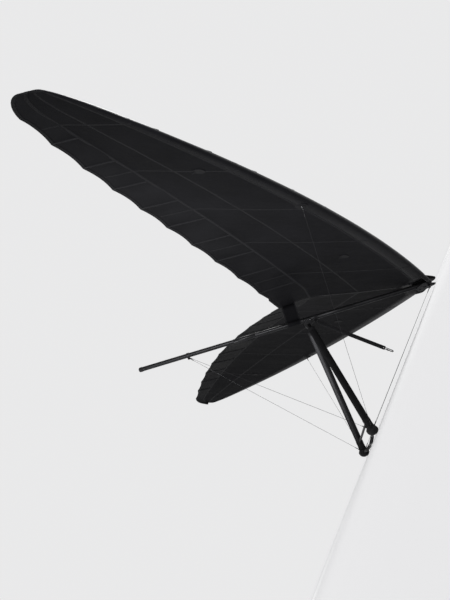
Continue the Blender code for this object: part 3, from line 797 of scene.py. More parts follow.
# %% [markdown]
# The rest of the glider is hardware, and it is placed by the same rigging measures as the
# wing. They are gathered here once: where the control frame's corners are, where the apex
# is, and where the wires meet the wing and the nose. Cloth has creases that differ from side
# to side, so the port junction is measured and the other is its mirror image.

# %% Points of the rig
SIDES = {"port": 1, "starboard": -1}
HANDS = tuple(SIDES.values())
AFT, DOWN = -FORWARD, -UP
KEEL_R, KEEL_LENGTH = 0.025, 3.44
APEX_AFT, APEX_Y, APEX_Z = 1.488, 0.054, -0.078
CORNER_AFT, CORNER_Y, CORNER_Z = 1.28, 0.742, -1.515
JUNCTION_Y, JUNCTION_BEHIND_LE, EYE_OUT = 2.55, 0.10, 0.030
NOSE_EYE_AFT, NOSE_EYE_Z, EYE_RING, EYE_WIRE = 0.045, -0.0476, 0.0090, 0.0042
corner = {hand: at(CORNER_AFT, hand * CORNER_Y, CORNER_Z) for hand in HANDS}
apex_end = {hand: at(APEX_AFT, hand * APEX_Y, APEX_Z) for hand in HANDS}
nose_eye = at(NOSE_EYE_AFT, 0, NOSE_EYE_Z)
le, te = edges(JUNCTION_Y)
JUNCTION_SHARE = JUNCTION_BEHIND_LE / (te.x - le.x)
port_junction = skin(JUNCTION_Y, JUNCTION_SHARE, "under")
junction = {hand: Vector((port_junction.x, hand * port_junction.y, port_junction.z)) for hand in HANDS}
side_eye = {hand: junction[hand] - UP * EYE_OUT for hand in HANDS}
upright_run = {hand: (corner[hand] - apex_end[hand]).normalized() for hand in HANDS}
print("upright length", round((corner[1] - apex_end[1]).length, 3), "m")

# %% [markdown]
# Bolts and rivets repeat everywhere, so they get one helper each, and their sizes are in two
# tables by what they hold. A bolt head is a short hexagon with a chamfer over a round washer,
# and a rivet is a low dome. Both are turned on their own axis, which makes them cheap, and
# each is sunk a little way into what it holds, so that nothing floats. Arcs, smooth curves,
# rings of wire and cut holes have helpers here too.

# %% Fasteners and other helpers
BOLTS = {
    # what it holds: radius and height of the head
    "block": (0.0058, 0.0040),
    "knuckle": (0.0060, 0.0042),
    "shoe": (0.0062, 0.0030),
    "socket": (0.0056, 0.0036),
    "brace": (0.0050, 0.0034),
    "clamp": (0.0040, 0.0034),
    "hook": (0.0036, 0.0080),
    "hook_plate": (0.0042, 0.0034),
}
SUNK = 0.0003
RIVETS = {"keel": 0.0032, "plug": 0.0030, "bar": 0.0028, "spar": 0.0026, "catch": 0.0020, "gate": 0.0019}


def bolt(bm, place, axis, holds):
    """A hexagon head over a washer, standing on place along axis."""
    radius, head = BOLTS[holds]
    turn(bm, place, axis, [(-0.0008, radius * 1.35), (0.0011, radius * 1.35), (0.0014, radius * 1.25)], 24)
    turn(bm, place, axis, [(0.0010, radius * 0.98), (head - 0.0008, radius), (head, radius * 0.86)], 6)
    turn(bm, place, axis, [(head - 0.0005, radius * 0.55), (head + 0.0012, radius * 0.50)], 12)


def rivet(bm, place, axis, holds):
    """A domed rivet head."""
    radius = RIVETS[holds]
    angles = [math.radians(a) for a in (0, 25, 50, 75, 89)]
    dome = [(radius * 0.45 * math.sin(a), radius * math.cos(a)) for a in angles]
    turn(bm, place, axis, [(-0.0006, radius), *dome], 14)


def arc(centre, u, v, radius, start, stop, count):
    """Points on an arc, in degrees from u towards v."""
    angles = [math.radians(a) for a in spaced(start, stop, count)]
    return [centre + u * (radius * math.cos(a)) + v * (radius * math.sin(a)) for a in angles]


def smooth_path(points, per_leg):
    """A smooth curve through points, so that a bend has no corners."""
    path = []
    last = len(points) - 1
    for i in range(last):
        before, a, b, after = points[max(i - 1, 0)], points[i], points[i + 1], points[min(i + 2, last)]
        lean, bend, snap = b - before, 2 * before - 5 * a + 4 * b - after, 3 * a - before - 3 * b + after
        for t in spaced(0, 1, per_leg)[:-1]:
            path.append(0.5 * (2 * a + lean * t + bend * t**2 + snap * t**3))
    return [*path, points[-1]]


def hoop(bm, centre, axis, radius, wire, count=36, sides=10):
    """A closed ring of round wire."""
    d = axis.normalized()
    u = square_to(d)
    path = [centre + out * radius for out in spokes(u, d.cross(u), count)]
    sweep(bm, path, round_outline(wire, sides), flat_normals(path, d, closed=True), closed=True)


def carve(made, cutters):
    """Cut the shapes in a bmesh out of a piece, for good."""
    bmesh.ops.recalc_face_normals(cutters, faces=cutters.faces)
    mesh = bpy.data.meshes.new("cutters")
    cutters.to_mesh(mesh)
    cutters.free()
    tool = add("cutters", mesh)
    cut = made.modifiers.new("cut", "BOOLEAN")
    cut.operation = "DIFFERENCE"
    cut.solver = "EXACT"
    cut.object = tool
    bpy.context.view_layer.update()
    carved = bpy.data.meshes.new_from_object(made.evaluated_get(bpy.context.evaluated_depsgraph_get()))
    made.modifiers.clear()
    made.data = carved
    bpy.data.objects.remove(tool, do_unlink=True)
    bpy.data.meshes.remove(mesh)


print("fasteners ready")

# %% [markdown]
# The keel is one round alloy tube, with a second tube sleeved over it ahead of the hang loop
# and again behind the sail. A plain cylinder would look like a toy, so the sleeves have
# turned-down ends, rings of rivets hold them, and a moulded cap with a lip and ribs closes
# the back end. All are turned on the tube's own axis from rows of distance and radius.

# %% Keel tube, sleeves and end cap
SLEEVES = [
    # start, stop, wall
    (0.92, 1.345, 0.0009),
    (2.10, 2.36, 0.0012),
]
RIVET_RINGS = (0.94, 2.12, 2.34, 3.30)
CAP_R, CAP_BODY_R, CAP_RIBS = KEEL_R + 0.0030, KEEL_R + 0.0020, 16
keel = bmesh.new()
tube_rows = [(0.020, KEEL_R - 0.002), (0.021, KEEL_R), (KEEL_LENGTH, KEEL_R), (KEEL_LENGTH, KEEL_R - 0.003)]
turn(keel, NOSE, AFT, tube_rows, 64)
for start, stop, wall in SLEEVES:
    worn, full = KEEL_R - 0.0005, KEEL_R + wall
    turn(keel, NOSE, AFT, [(start, worn), (start + 0.003, full), (stop - 0.003, full), (stop, worn)], 64)
for aft in RIVET_RINGS:
    for out in spokes(UP, PORT, 4, 45):
        rivet(keel, at(aft, 0, 0) + out * (KEEL_R + 0.0006), out, "keel")
piece("keel_tube_sleeved", keel, anodised, "keel_tube")

cap = bmesh.new()
angles = [math.radians(a) for a in range(8, 88, 8)]
cap_rows = [(-0.0005, CAP_R - 0.0012), (0.0005, CAP_R), (0.0045, CAP_R)]
cap_rows += [(0.0055, CAP_BODY_R), (0.0260, CAP_BODY_R)]
cap_rows += [(0.0270 + 0.0190 * math.sin(a), CAP_BODY_R * math.cos(a) ** 0.7) for a in angles]
turn(cap, at(KEEL_LENGTH, 0, 0), AFT, cap_rows, 48)
for out in spokes(UP, PORT, CAP_RIBS):
    run = [at(KEEL_LENGTH + d, 0, 0) + out * (CAP_R - 0.0012) for d in (0.0070, 0.0150, 0.0240)]
    sweep(cap, run, round_outline(0.0010, 8))
piece("keel_cap", cap, moulded, "keel_end_cap")
print("keel", KEEL_LENGTH, "m, sleeves:", len(SLEEVES))

# %% [markdown]
# At the nose two alloy plates clamp the keel and the ends of the leading-edge tubes. They are
# laser-cut plates with round corners and lightening holes. Each is a slab with softened edges.
# The tubes show between the plates and run on into the sail, and a domed plug closes the inner
# end of each.

# %% Nose plates and leading-edge tube ends
PLATE_INNER, PLATE_THICK, PLATE_BEVEL, CUT_DEPTH = 0.0253, 0.004, 0.0009, 0.04
PLATE = [
    # aft, half width
    (-0.030, 0.022),
    (-0.029, 0.030),
    (-0.022, 0.037),
    (0.010, 0.062),
    (0.100, 0.139),
    (0.110, 0.146),
    (0.119, 0.146),
    (0.127, 0.141),
    (0.160, 0.117),
    (0.192, 0.040),
    (0.198, 0.029),
    (0.200, 0.018),
]
PLATE_HOLES = [
    # aft, across, radius
    (0.100, 0.0, 0.020),
    (0.145, 0.058, 0.011),
    (0.145, -0.058, 0.011),
]
SPAR_R, SPAR_BEHIND_LE, SPAR_Y, SLEEVED_Y = 0.025, 0.014, (0.052, 0.210), (0.34, 0.44)
SLEEVED_AFT, SLEEVED_UP, SPAR_RIVETS, SPAR_RIVET_TURN = 0.034, 0.012, 3, 2.1
SPAR_PLUG = [(-0.0036, 0.0060), (-0.0032, 0.0150), (-0.0010, 0.0222), (0.0, 0.0236), (0.0020, 0.0236)]
plate_shape = PLATE + [(aft, -half) for aft, half in reversed(PLATE)]


def spar_point(y, hand):
    """The middle of a leading-edge tube at the nose."""
    return at(plain_edge(y) + SPAR_BEHIND_LE, hand * y, 0)


def sleeved_point(y, hand):
    """The middle of the same tube where it has gone into the sail's leading edge."""
    le = edges(y)[0]
    return at(le.x + SLEEVED_AFT, hand * y, le.y + SLEEVED_UP)


for name, hand in (("lower", -1), ("upper", 1)):
    plates = bmesh.new()
    middle = NOSE + UP * (hand * (PLATE_INNER + PLATE_THICK / 2))
    slab(plates, middle, AFT, PORT, plate_shape, PLATE_THICK, PLATE_BEVEL)
    face = hand * (PLATE_INNER + PLATE_THICK - SUNK)
    plate = piece(f"nose_plate_{name}_cut", plates, machined, f"nose_plate_{name}")
    holes = bmesh.new()
    for aft, y, radius in PLATE_HOLES:
        base = at(aft, y, face - hand * CUT_DEPTH / 2)
        turn(holes, base, UP * hand, [(0.0, radius), (CUT_DEPTH, radius)], 32)
    carve(plate, holes)

for name, hand in SIDES.items():
    start, stop = [spar_point(y, hand) for y in SPAR_Y]
    run = (stop - start).normalized()
    line = [start, start.lerp(stop, 0.5), stop] + [sleeved_point(y, hand) for y in SLEEVED_Y]
    spar = bmesh.new()
    sweep(spar, smooth_path(line, 8), round_outline(SPAR_R, 40))
    for k in range(SPAR_RIVETS):
        out = UP * math.cos(k * SPAR_RIVET_TURN) + FORWARD * math.sin(k * SPAR_RIVET_TURN)
        rivet(spar, start + run * 0.030 + out * (SPAR_R - 0.0002), out, "spar")
    piece(f"leading_edge_end_{name}", spar, anodised, f"leading_edge_tube_{name}")
    plug = bmesh.new()
    turn(plug, start, run, SPAR_PLUG, 40)
    piece(f"leading_edge_plug_{name}", plug, moulded)
print("nose plate holes:", len(PLATE_HOLES))

# %% [markdown]
# The front wires end on an eye under the nose: a turned stud with a riveted flange, and a
# round eye below it. The stud is turned from a profile, and the eye is one closed sweep.

# %% Nose catch
CATCH = [
    # distance, radius
    (-0.0005, 0.0165),
    (0.0008, 0.0180),
    (0.0042, 0.0180),
    (0.0052, 0.0168),
    (0.0066, 0.0085),
    (0.0105, 0.0060),
]
CATCH_FACE, CATCH_RIVETS_R = 0.0042, 0.0132
catch = bmesh.new()
catch_foot = at(NOSE_EYE_AFT, 0, -PLATE_INNER - PLATE_THICK)
turn(catch, catch_foot, DOWN, CATCH, 48)
hoop(catch, nose_eye, PORT, EYE_RING, EYE_WIRE, sides=14)
for out in spokes(PORT, FORWARD, 6):
    rivet(catch, catch_foot + DOWN * CATCH_FACE + out * CATCH_RIVETS_R, DOWN, "catch")
piece("nose_catch_eye", catch, steel, "nose_catch")
print("nose eye", round(2 * (EYE_RING + EYE_WIRE) * 1000, 1), "mm across")

# %% [markdown]
# A cloth cone closes the gap in front of the sail. It lies as a low shell with a soft crown
# over the plates, and its back edges are tucked in at the sail's leading edge. It is a lofted
# grid of points: each row is a low arch, and a little noise keeps it from being a perfect
# dome. Its rim is turned down and bound with tape.

# %% Nose cone
CONE = [
    # aft, half width, top height
    (-0.050, 0.014, 0.0385),
    (-0.046, 0.034, 0.0420),
    (-0.036, 0.056, 0.0465),
    (-0.010, 0.092, 0.0545),
    (0.024, 0.130, 0.0600),
    (0.070, 0.182, 0.0610),
    (0.123, 0.234, 0.0600),
    (0.147, 0.178, 0.0670),
    (0.171, 0.124, 0.0745),
    (0.198, 0.064, 0.0820),
    (0.224, 0.012, 0.0880),
]
CONE_FOOT, CONE_RIM, CONE_ACROSS, CONE_WAVE = 0.0300, 0.0052, 32, 0.0022
CONE_TAPE = [(0.0018, -0.0040), (0.0018, 0.0030), (-0.0014, 0.0036), (-0.0014, -0.0040)]
arches = []
for aft, half, top in CONE:
    arches.append([])
    for v in spaced(-1, 1, CONE_ACROSS):
        lift = (1 - abs(v) ** 2.4) * (top - CONE_FOOT - CONE_RIM)
        wave = CONE_WAVE * noise.noise(Vector((aft * 16, v * 2.6, 1.5))) * (1 - v * v)
        arches[-1].append(at(aft, half * v, CONE_FOOT + CONE_RIM + lift + wave))
cone = bmesh.new()
laid = flat_map(PORT, AFT)
arches = join_rows(cone, arches, laid, ring=False)
rim = [row[0] for row in arches] + arches[-1][1:-1]
rim += [row[-1] for row in reversed(arches)] + arches[0][-2:0:-1]
rim_path = [v.co.copy() for v in rim]
join_rows(cone, [rim, [p - UP * CONE_RIM for p in rim_path]], laid)
nose_cone = piece("nose_cone_cloth", cone, sailcloth, "nose_cone", thickness=0.0012)
edge = bmesh.new()
sweep(edge, [p - UP * 0.0010 for p in rim_path], CONE_TAPE, UP, closed=True)
piece("nose_cone_binding", edge, seam_tape)
print("nose cone rows:", len(arches))

# %% [markdown]
# Behind the control frame the keel runs through a pocket that hangs from the middle of the
# sail. The cloth goes round the tube and up to the sail as a flat web of two plies. Each
# row of points is one such outline, whose height follows the sail above, and both ends are
# hemmed with tape.

# %% Keel pocket
POCKET_START, POCKET_STOP, POCKET_ROWS, HEM_IN = 1.558, 1.722, 14, 0.006
POCKET_ANGLES = [math.radians(a) for a in (35, 55, 75, 95, 115, 135, 155, 172)]
le, te = edges(0)
outlines = []
for k, aft in enumerate(spaced(POCKET_START, POCKET_STOP, POCKET_ROWS)):
    share = min((aft - le.x) / (te.x - le.x), 0.999)
    ceiling = (skin(0, share, "top", -0.0012) - NOSE).dot(UP)
    ripple = 0.0014 * noise.noise(Vector((aft * 40, 0.3, 2.2)))
    radius = KEEL_R + 0.0020 + 0.0008 * math.sin(k * 1.9) ** 2
    web = [(0.0016, ceiling), (0.0020 + ripple, ceiling - 0.05), (0.0022 - ripple, 0.075), (0.0030, 0.046)]
    bow = [(radius * math.sin(a), radius * math.cos(a)) for a in POCKET_ANGLES]
    outlines.append([at(aft, y, z) for y, z in mirrored([*web, (0.0075, 0.033), *bow])])
pocket, hems = fresh(2)
join_rows(pocket, outlines, flat_map(AFT, UP), ring=False)
keel_pocket = piece("keel_pocket_cloth", pocket, under_cloth, "keel_pocket", thickness=0.0009)
for outline, inward in ((outlines[0], HEM_IN), (outlines[-1], -HEM_IN)):
    line = [p + AFT * inward for p in outline]
    sweep(hems, line, flat_tape(0.013, 0.0010, 0.0012), [-n for n in flat_normals(line, AFT)])
piece("keel_pocket_hems", hems, seam_tape)
print("keel pocket", round(POCKET_STOP - POCKET_START, 3), "m long")

# %% [markdown]
# The apex bracket is machined from one block: it cradles the keel from below and carries the
# two uprights on pins. A groove for the tube is cut with a boolean and the edges are
# bevelled. Two straps over the tube and bolts in its sides make it look like something that
# was made to come apart.

# %% Apex bracket and its straps
BLOCK_Y, BLOCK_LOW, BLOCK_HIGH, BLOCK_BEVEL = 0.070, -0.102, 0.004, 0.0030
GROOVE_R, GROOVE_HALF = KEEL_R + 0.0004, 0.10
STRAP_R, STRAP_AFT, STRAP_FOOT = KEEL_R + 0.0016, (-0.030, 0.030), 0.0020
STRAP_BAND = [(0.009, -0.0012), (0.009, 0.0012), (-0.009, 0.0012), (-0.009, -0.0012)]
BLOCK_SIDE = [(-0.045, 0.053), (-0.045, 0.010), (-0.040, -0.020), (-0.026, -0.048), (-0.020, -0.053)]
BLOCK_BOLTS = [
    # aft of the apex, height
    (-0.034, -0.012),
    (0.034, -0.012),
    (0.0, -0.090),
]
apex, groove, straps = fresh(3)
middle = at(APEX_AFT, 0, (BLOCK_LOW + BLOCK_HIGH) / 2)
slab(apex, middle, FORWARD, UP, mirrored(BLOCK_SIDE), BLOCK_Y, BLOCK_BEVEL)
bracket = piece("apex_bracket_block", apex, machined, "apex_bracket")
turn(groove, at(APEX_AFT, 0, 0), AFT, [(-GROOVE_HALF, GROOVE_R), (GROOVE_HALF, GROOVE_R)], 64)
carve(bracket, groove)
for aft in STRAP_AFT:
    centre = at(APEX_AFT + aft, 0, 0)
    port_foot, starboard_foot = [centre + PORT * (hand * STRAP_R) + DOWN * STRAP_FOOT for hand in HANDS]
    path = [port_foot, *arc(centre, PORT, UP, STRAP_R, -6, 186, 24), starboard_foot]
    sweep(straps, path, STRAP_BAND, [(p - centre).normalized() for p in path])
for hand in HANDS:
    for aft, z in BLOCK_BOLTS:
        place = at(APEX_AFT + aft, hand * (BLOCK_Y / 2 - 0.0004), z)
        bolt(straps, place, PORT * hand, "block")
piece("apex_straps", straps, steel)
print("apex bracket carved:", len(bracket.data.polygons), "faces")

# %% [markdown]
# The uprights are drawn aerofoil tubes, so they need a real section: round in front, thin
# behind. The half thickness follows the usual square-root-and-polynomial shape of a
# streamline tube. Each end has a moulded plug that is a little fatter than the tube, with
# rivets, and at the top an alloy knuckle carries it on the apex bracket.

# %% Uprights, plugs and knuckles
UPRIGHT_CHORD, UPRIGHT_THICK, STREAM_STEPS = 0.078, 0.034, 22
KNUCKLE_END, UPRIGHT_END, TUBE_IN = 0.055, 0.058, (0.030, 0.031)
PLUG_STEPS = [
    # distance from the end, scale
    (0.0, 0.93),
    (0.003, 0.99),
    (0.006, 1.0),
    (0.036, 1.0),
    (0.0385, 0.985),
    (0.041, 0.955),
]
PLUG_GROWTH, PLUG_RIVETS = (0.004, 0.004), [(0.014, 0.008), (0.029, 0.008), (0.0215, -0.008)]
PLUG_FACE = UPRIGHT_THICK / 2 + 0.0014
KNUCKLE = mirrored([(0.012, 0.017), (0.014, 0.015), (0.014, -0.015), (0.012, -0.017)])
KNUCKLE_IN, KNUCKLE_OUT, KNUCKLE_DROP, KNUCKLE_TAPER = 0.004, 0.012, 0.006, (1.10, 0.92)
KNUCKLE_FACE, BOLT_SHARE, BEAD_SHARES, BEAD_HALF, BEAD_SIZE = 0.0162, 0.52, (0.22, 0.80), 0.03, 1.06


def streamline(chord, thick):
    """A closed streamline outline as (across, along) points, nose at +chord/2."""
    half = []
    for angle in spaced(0, math.pi, STREAM_STEPS):
        x = (1 - math.cos(angle)) / 2
        t = 1.4845 * math.sqrt(x) - 0.63 * x - 1.758 * x**2 + 1.4215 * x**3 - 0.5075 * x**4
        half.append((thick * t, chord * (0.5 - x)))
    return half[:-1] + [(-t, c) for t, c in reversed(half[1:])]


def collar(bm, place, run, steps, growth, forward):
    """A streamline collar a little larger than an upright, from (distance, scale) steps."""
    longer, thicker = growth
    outline = streamline(UPRIGHT_CHORD + longer, UPRIGHT_THICK + thicker)
    path, scales = [place + run * d for d, scale in steps], [scale for d, scale in steps]
    sweep(bm, path, outline, forward, scales=scales)


upright_forward = {hand: square_to(upright_run[hand], FORWARD) for hand in HANDS}
upright_across = {hand: upright_run[hand].cross(upright_forward[hand]) for hand in HANDS}
for name, hand in SIDES.items():
    run, forward, across = upright_run[hand], upright_forward[hand], upright_across[hand]
    start, stop = apex_end[hand] + run * (KNUCKLE_END + SUNK), corner[hand] - run * UPRIGHT_END
    tube, plugs, knuckle = fresh(3)
    path = [start + run * d for d in TUBE_IN] + [start.lerp(stop, k / 8) for k in range(1, 8)]
    path += [stop - run * d for d in reversed(TUBE_IN)]
    sweep(tube, path, streamline(UPRIGHT_CHORD, UPRIGHT_THICK), forward)
    piece(f"upright_{name}_tube", tube, anodised, f"upright_{name}", sharp=50)
    for end, inward in ((start, run), (stop, -run)):
        collar(plugs, end, inward, PLUG_STEPS, PLUG_GROWTH, forward)
        for d, along in PLUG_RIVETS:
            for out in (across, -across):
                place = end + inward * d + forward * along + out * PLUG_FACE
                rivet(plugs, place, out, "plug")
    piece(f"upright_{name}_plugs", plugs, moulded, sharp=40)
    top = at(APEX_AFT, hand * (BLOCK_Y / 2 - KNUCKLE_IN), APEX_Z)
    bend = at(APEX_AFT, hand * (BLOCK_Y / 2 + KNUCKLE_OUT), APEX_Z - KNUCKLE_DROP)
    low = apex_end[hand] + run * KNUCKLE_END
    fork = smooth_path([top, bend, bend.lerp(low, 0.5), low], 4)
    sweep(knuckle, fork, KNUCKLE, forward, scales=spaced(*KNUCKLE_TAPER, len(fork) - 1))
    for out in (forward, -forward):
        bolt(knuckle, top.lerp(low, BOLT_SHARE) + out * KNUCKLE_FACE, out, "knuckle")
    for share in BEAD_SHARES:
        bead = [top.lerp(low, share - BEAD_HALF), top.lerp(low, share + BEAD_HALF)]
        sweep(knuckle, bead, KNUCKLE, forward, scales=[BEAD_SIZE] * 2)
    piece(f"upright_knuckle_{name}_forged", knuckle, machined, f"upright_knuckle_{name}")
print("uprights:", round((stop - start).length, 3), "m between plugs")

# %% [markdown]
# Each bottom corner is a moulded shoe that takes the upright and the bar, and it is what the
# glider stands on. It is a ball-like shell with raised ribs, cut flat where the tubes plug in.
# A fine sphere is pushed out into ribs by a formula, then cut by two planes whose holes are
# filled, and sockets with collars are added over the cuts.

# %% Corner shoes
CORNER_RADII, SHOE_MESH = (0.060, 0.060, 0.052), 96
RIBS, RIB_DEPTH, RIB_SLOPE, RIB_WIDTH = 22, 0.030, 2, 0.9
SHOE_FACE, SHOE_BOLT_UP = 0.0582, 0.004
SOCKET_FACE, SOCKET_BOLT_UP = UPRIGHT_THICK / 2 + 0.0040, 0.052
BAR_END, BAR_R = 0.052, 0.015
SHOE_STEPS, SHOE_GROWTH = [(0.040, 1.0), (0.0640, 1.0), (0.0665, 0.97)], (0.008, 0.009)
BAR_SOCKET = [(0.030, 0.0235), (0.0585, 0.0235), (0.0605, 0.0215), (0.0607, 0.0170)]
for name, hand in SIDES.items():
    middle, run = corner[hand], upright_run[hand]
    forward, across, inward = upright_forward[hand], upright_across[hand], PORT * -hand
    shell = bmesh.new()
    bmesh.ops.create_uvsphere(shell, u_segments=SHOE_MESH, v_segments=SHOE_MESH, radius=1.0)
    for vert in shell.verts:
        d = vert.co.normalized()
        band = math.cos(math.asin(max(-1, min(1, d.z))) * RIBS)
        rib = 1 - RIB_DEPTH + RIB_DEPTH * max(0.0, min(1.0, band * RIB_SLOPE + RIB_WIDTH))
        x, y, z = [share * radius * rib for share, radius in zip((d.x, d.z, d.y), CORNER_RADII)]
        vert.co = middle + FORWARD * x + PORT * y + UP * z
    for outward, reach in ((-run, UPRIGHT_END - SUNK), (inward, BAR_END - SUNK)):
        flat = {"plane_co": middle + outward * reach, "plane_no": outward, "clear_outer": True}
        sliced = bmesh.ops.bisect_plane(shell, geom=shell.verts[:] + shell.edges[:] + shell.faces[:], **flat)
        open_rim = [e for e in sliced["geom_cut"] if isinstance(e, bmesh.types.BMEdge)]
        bmesh.ops.holes_fill(shell, edges=open_rim)
    bmesh.ops.triangulate(shell, faces=[f for f in shell.faces if len(f.verts) > 4])
    collar(shell, middle, -run, SHOE_STEPS, SHOE_GROWTH, forward)
    turn(shell, middle, inward, BAR_SOCKET, 40)
    for face in (1, -1):
        bolt(shell, middle + FORWARD * (face * SHOE_FACE) + UP * SHOE_BOLT_UP, FORWARD * face, "shoe")
        bolt(shell, middle - run * SOCKET_BOLT_UP + across * (face * SOCKET_FACE), across * face, "socket")
    piece(f"corner_shoe_{name}", shell, moulded, f"corner_fitting_{name}")
print("corner shoes at height", round(corner[1].z, 3))

# %% [markdown]
# The base bar is a round tube bowed down and forward, with a foam grip on each side of the
# middle where hands go. A thinner straight bar braces the frame just above it. The bow is a
# smooth power curve, so the sweep takes many short steps, and the grips are second sweeps
# along the same path with rolled ends.

# %% Base bar, grips and brace
BAR_BOW_FORWARD, BAR_BOW_DOWN, BAR_STEPS, BAR_RIVETS = 0.020, 0.028, 96, (0.93, 0.955)
BRACE_R, BRACE_UP, BRACE_GAP = 0.0125, 0.115, 0.0010
CLAMP_IN, CLAMP_BOLT_IN, CLAMP_FACE = 0.012, 0.030, 0.0160
GRIP_START, GRIP_STOP, GRIP_WALL, GRIP_STEPS = 0.13, 0.66, 0.0032, 90
CLAMP_GROWTH = (0.0045, 0.0045)
CLAMP_STEPS = [(-0.020, 0.97), (-0.018, 1.0), (0.018, 1.0), (0.020, 0.97)]
CLAMP_SOCKET = [(0.0, 0.0185), (0.022, 0.0185), (0.034, 0.0165), (0.036, 0.0150)]
bar_half = CORNER_Y - BAR_END


def bar_point(v):
    """The middle of the base bar, v from -1 at starboard to 1 at port."""
    bow = (1 - v * v) ** 0.8
    return at(CORNER_AFT - BAR_BOW_FORWARD * bow, v * bar_half, CORNER_Z - BAR_BOW_DOWN * bow)


def grip_scale(k):
    """Size of a grip at one step: rolled in at its ends, and lightly ribbed."""
    rolled = min(1.0, 0.90 + 0.035 * min(k, GRIP_STEPS - k))
    return rolled * (1 + 0.012 * math.cos(k * math.tau / 6))


bar, grips, brace, clamps = fresh(4)
sweep(bar, [bar_point(v) for v in spaced(-1, 1, BAR_STEPS)], round_outline(BAR_R, 36), FORWARD)
for hand in HANDS:
    for v in BAR_RIVETS:
        rivet(bar, bar_point(v * hand) + FORWARD * (BAR_R - 0.0002), FORWARD, "bar")
    path = [bar_point(hand * v) for v in spaced(GRIP_START, GRIP_STOP, GRIP_STEPS)]
    scales = [grip_scale(k) for k in range(GRIP_STEPS + 1)]
    sweep(grips, path, round_outline(BAR_R + GRIP_WALL, 36), FORWARD, scales=scales)
piece("base_bar_tube", bar, anodised, "base_bar")
piece("base_bar_grips", grips, foam)

brace_share = (CORNER_Z + BRACE_UP - APEX_Z) / (CORNER_Z - APEX_Z)
brace_end = {hand: apex_end[hand].lerp(corner[hand], brace_share) for hand in HANDS}
inset = UPRIGHT_THICK / 2 + BRACE_GAP
brace_length = 2 * (brace_end[1].y - inset)
brace_rows = [(0.0, BRACE_R - 0.001), (0.001, BRACE_R), (brace_length, BRACE_R)]
turn(brace, brace_end[-1] + PORT * inset, PORT, brace_rows, 40)
piece("brace_bar_tube", brace, anodised, "brace_bar")
for hand in reversed(HANDS):
    place, inward = brace_end[hand], PORT * -hand
    collar(clamps, place, upright_run[hand], CLAMP_STEPS, CLAMP_GROWTH, upright_forward[hand])
    turn(clamps, place + inward * CLAMP_IN, inward, CLAMP_SOCKET, 36)
    bolt(clamps, place + inward * CLAMP_BOLT_IN + FORWARD * CLAMP_FACE, FORWARD, "brace")
piece("brace_bar_clamps", clamps, moulded)
print("base bar", round(2 * bar_half, 3), "m, grips from", GRIP_START, "to", GRIP_STOP, "of each half")

# %% [markdown]
# Under each wing a stem comes down out of the cloth, through a sewn patch with a grommet, and
# has an eye for the side wire. Behind the sail a clamp on the keel takes the rear wires. The
# clamp is two half shells whose flanges meet below the tube and are bolted together.

# %% Side junctions and the rear clamp
STEM_R, FLANGE_R = 0.010, 0.014
STEM = [(-0.044, STEM_R), (0.0, STEM_R), (0.0035, FLANGE_R), (0.0055, FLANGE_R), (0.007, STEM_R)]
STEM += [(0.013, 0.0075), (0.022, 0.0052)]
PATCH_DISCS = [
    # facets, rows of height over the cloth and radius
    (48, [(-0.0006, 0.058), (0.0012, 0.058), (0.0018, 0.056)]),
    (40, [(0.0010, 0.036), (0.0030, 0.036), (0.0036, 0.034)]),
]
PATCH_STITCHES = [
    # radius, height over the cloth
    (0.051, 0.0020),
    (0.030, 0.0038),
]
REAR_CLAMP_AFT, REAR_CLAMP_R, REAR_CLAMP_LOW = 2.90, 0.031, -0.050
HALF_SHELL = [(-0.015, KEEL_R), (-0.015, 0.0300), (-0.0138, REAR_CLAMP_R), (-0.0060, REAR_CLAMP_R)]
HALF_SHELL += [(-0.0050, REAR_CLAMP_R - 0.0016)]


def stitch(bm, middle, run, length, radius):
    """One stitch, a short round bar with its middle on the cloth."""
    sweep(bm, [middle - run * (length / 2), middle + run * (length / 2)], round_outline(radius, 6))


for name, hand in SIDES.items():
    stem, patch, grommet = fresh(3)
    turn(stem, junction[hand], DOWN, STEM, 36)
    across = UP.cross(corner[hand] - side_eye[hand])
    hoop(stem, side_eye[hand], across, EYE_RING, EYE_WIRE, sides=14)
    piece(f"side_junction_{name}_eye", stem, steel, f"side_junction_{name}")
    base = skin(hand * JUNCTION_Y, JUNCTION_SHARE, "under")
    out = skin_normal(hand * JUNCTION_Y, JUNCTION_SHARE, "under")
    side = out.cross(FORWARD).normalized()
    for facets, rows in PATCH_DISCS:
        turn(patch, base, out, rows, facets)
    for radius, height in PATCH_STITCHES:
        for spoke in spokes(side, side.cross(out), 36):
            stitch(patch, base + spoke * radius + out * height, out.cross(spoke), 0.0032, 0.0005)
    piece(f"side_junction_{name}_patch", patch, seam_tape, sharp=32)
    hoop(grommet, base + out * 0.0040, out, 0.0150, 0.0022)
    piece(f"side_junction_{name}_grommet", grommet, steel)

clamp, rear_eye = bmesh.new(), {}
turn(clamp, at(REAR_CLAMP_AFT, 0, 0), AFT, mirrored(HALF_SHELL), 56)
flange = mirrored([(0.014, -0.028), (0.014, -0.043), (0.007, REAR_CLAMP_LOW)])
lug = mirrored([(0.009, -0.006), (0.007, 0.006)])
for hand in HANDS:
    slab(clamp, at(REAR_CLAMP_AFT, hand * 0.0022, 0), AFT, UP, flange, 0.0034, 0.0006)
    for d in (-0.0075, 0.0075):
        bolt(clamp, at(REAR_CLAMP_AFT + d, hand * 0.0038, -0.0385), PORT * hand, "clamp")
    out = (PORT * (hand * CORNER_Y) + UP * CORNER_Z).normalized()
    rear_eye[hand] = at(REAR_CLAMP_AFT, 0, 0) + out * REAR_CLAMP_R
    slab(clamp, rear_eye[hand], AFT, out, lug, 0.0040, 0.0006)
piece("rear_clamp_shells", clamp, machined, "rear_wire_clamp", sharp=32)
print("side eye hangs", EYE_OUT, "m below the cloth")

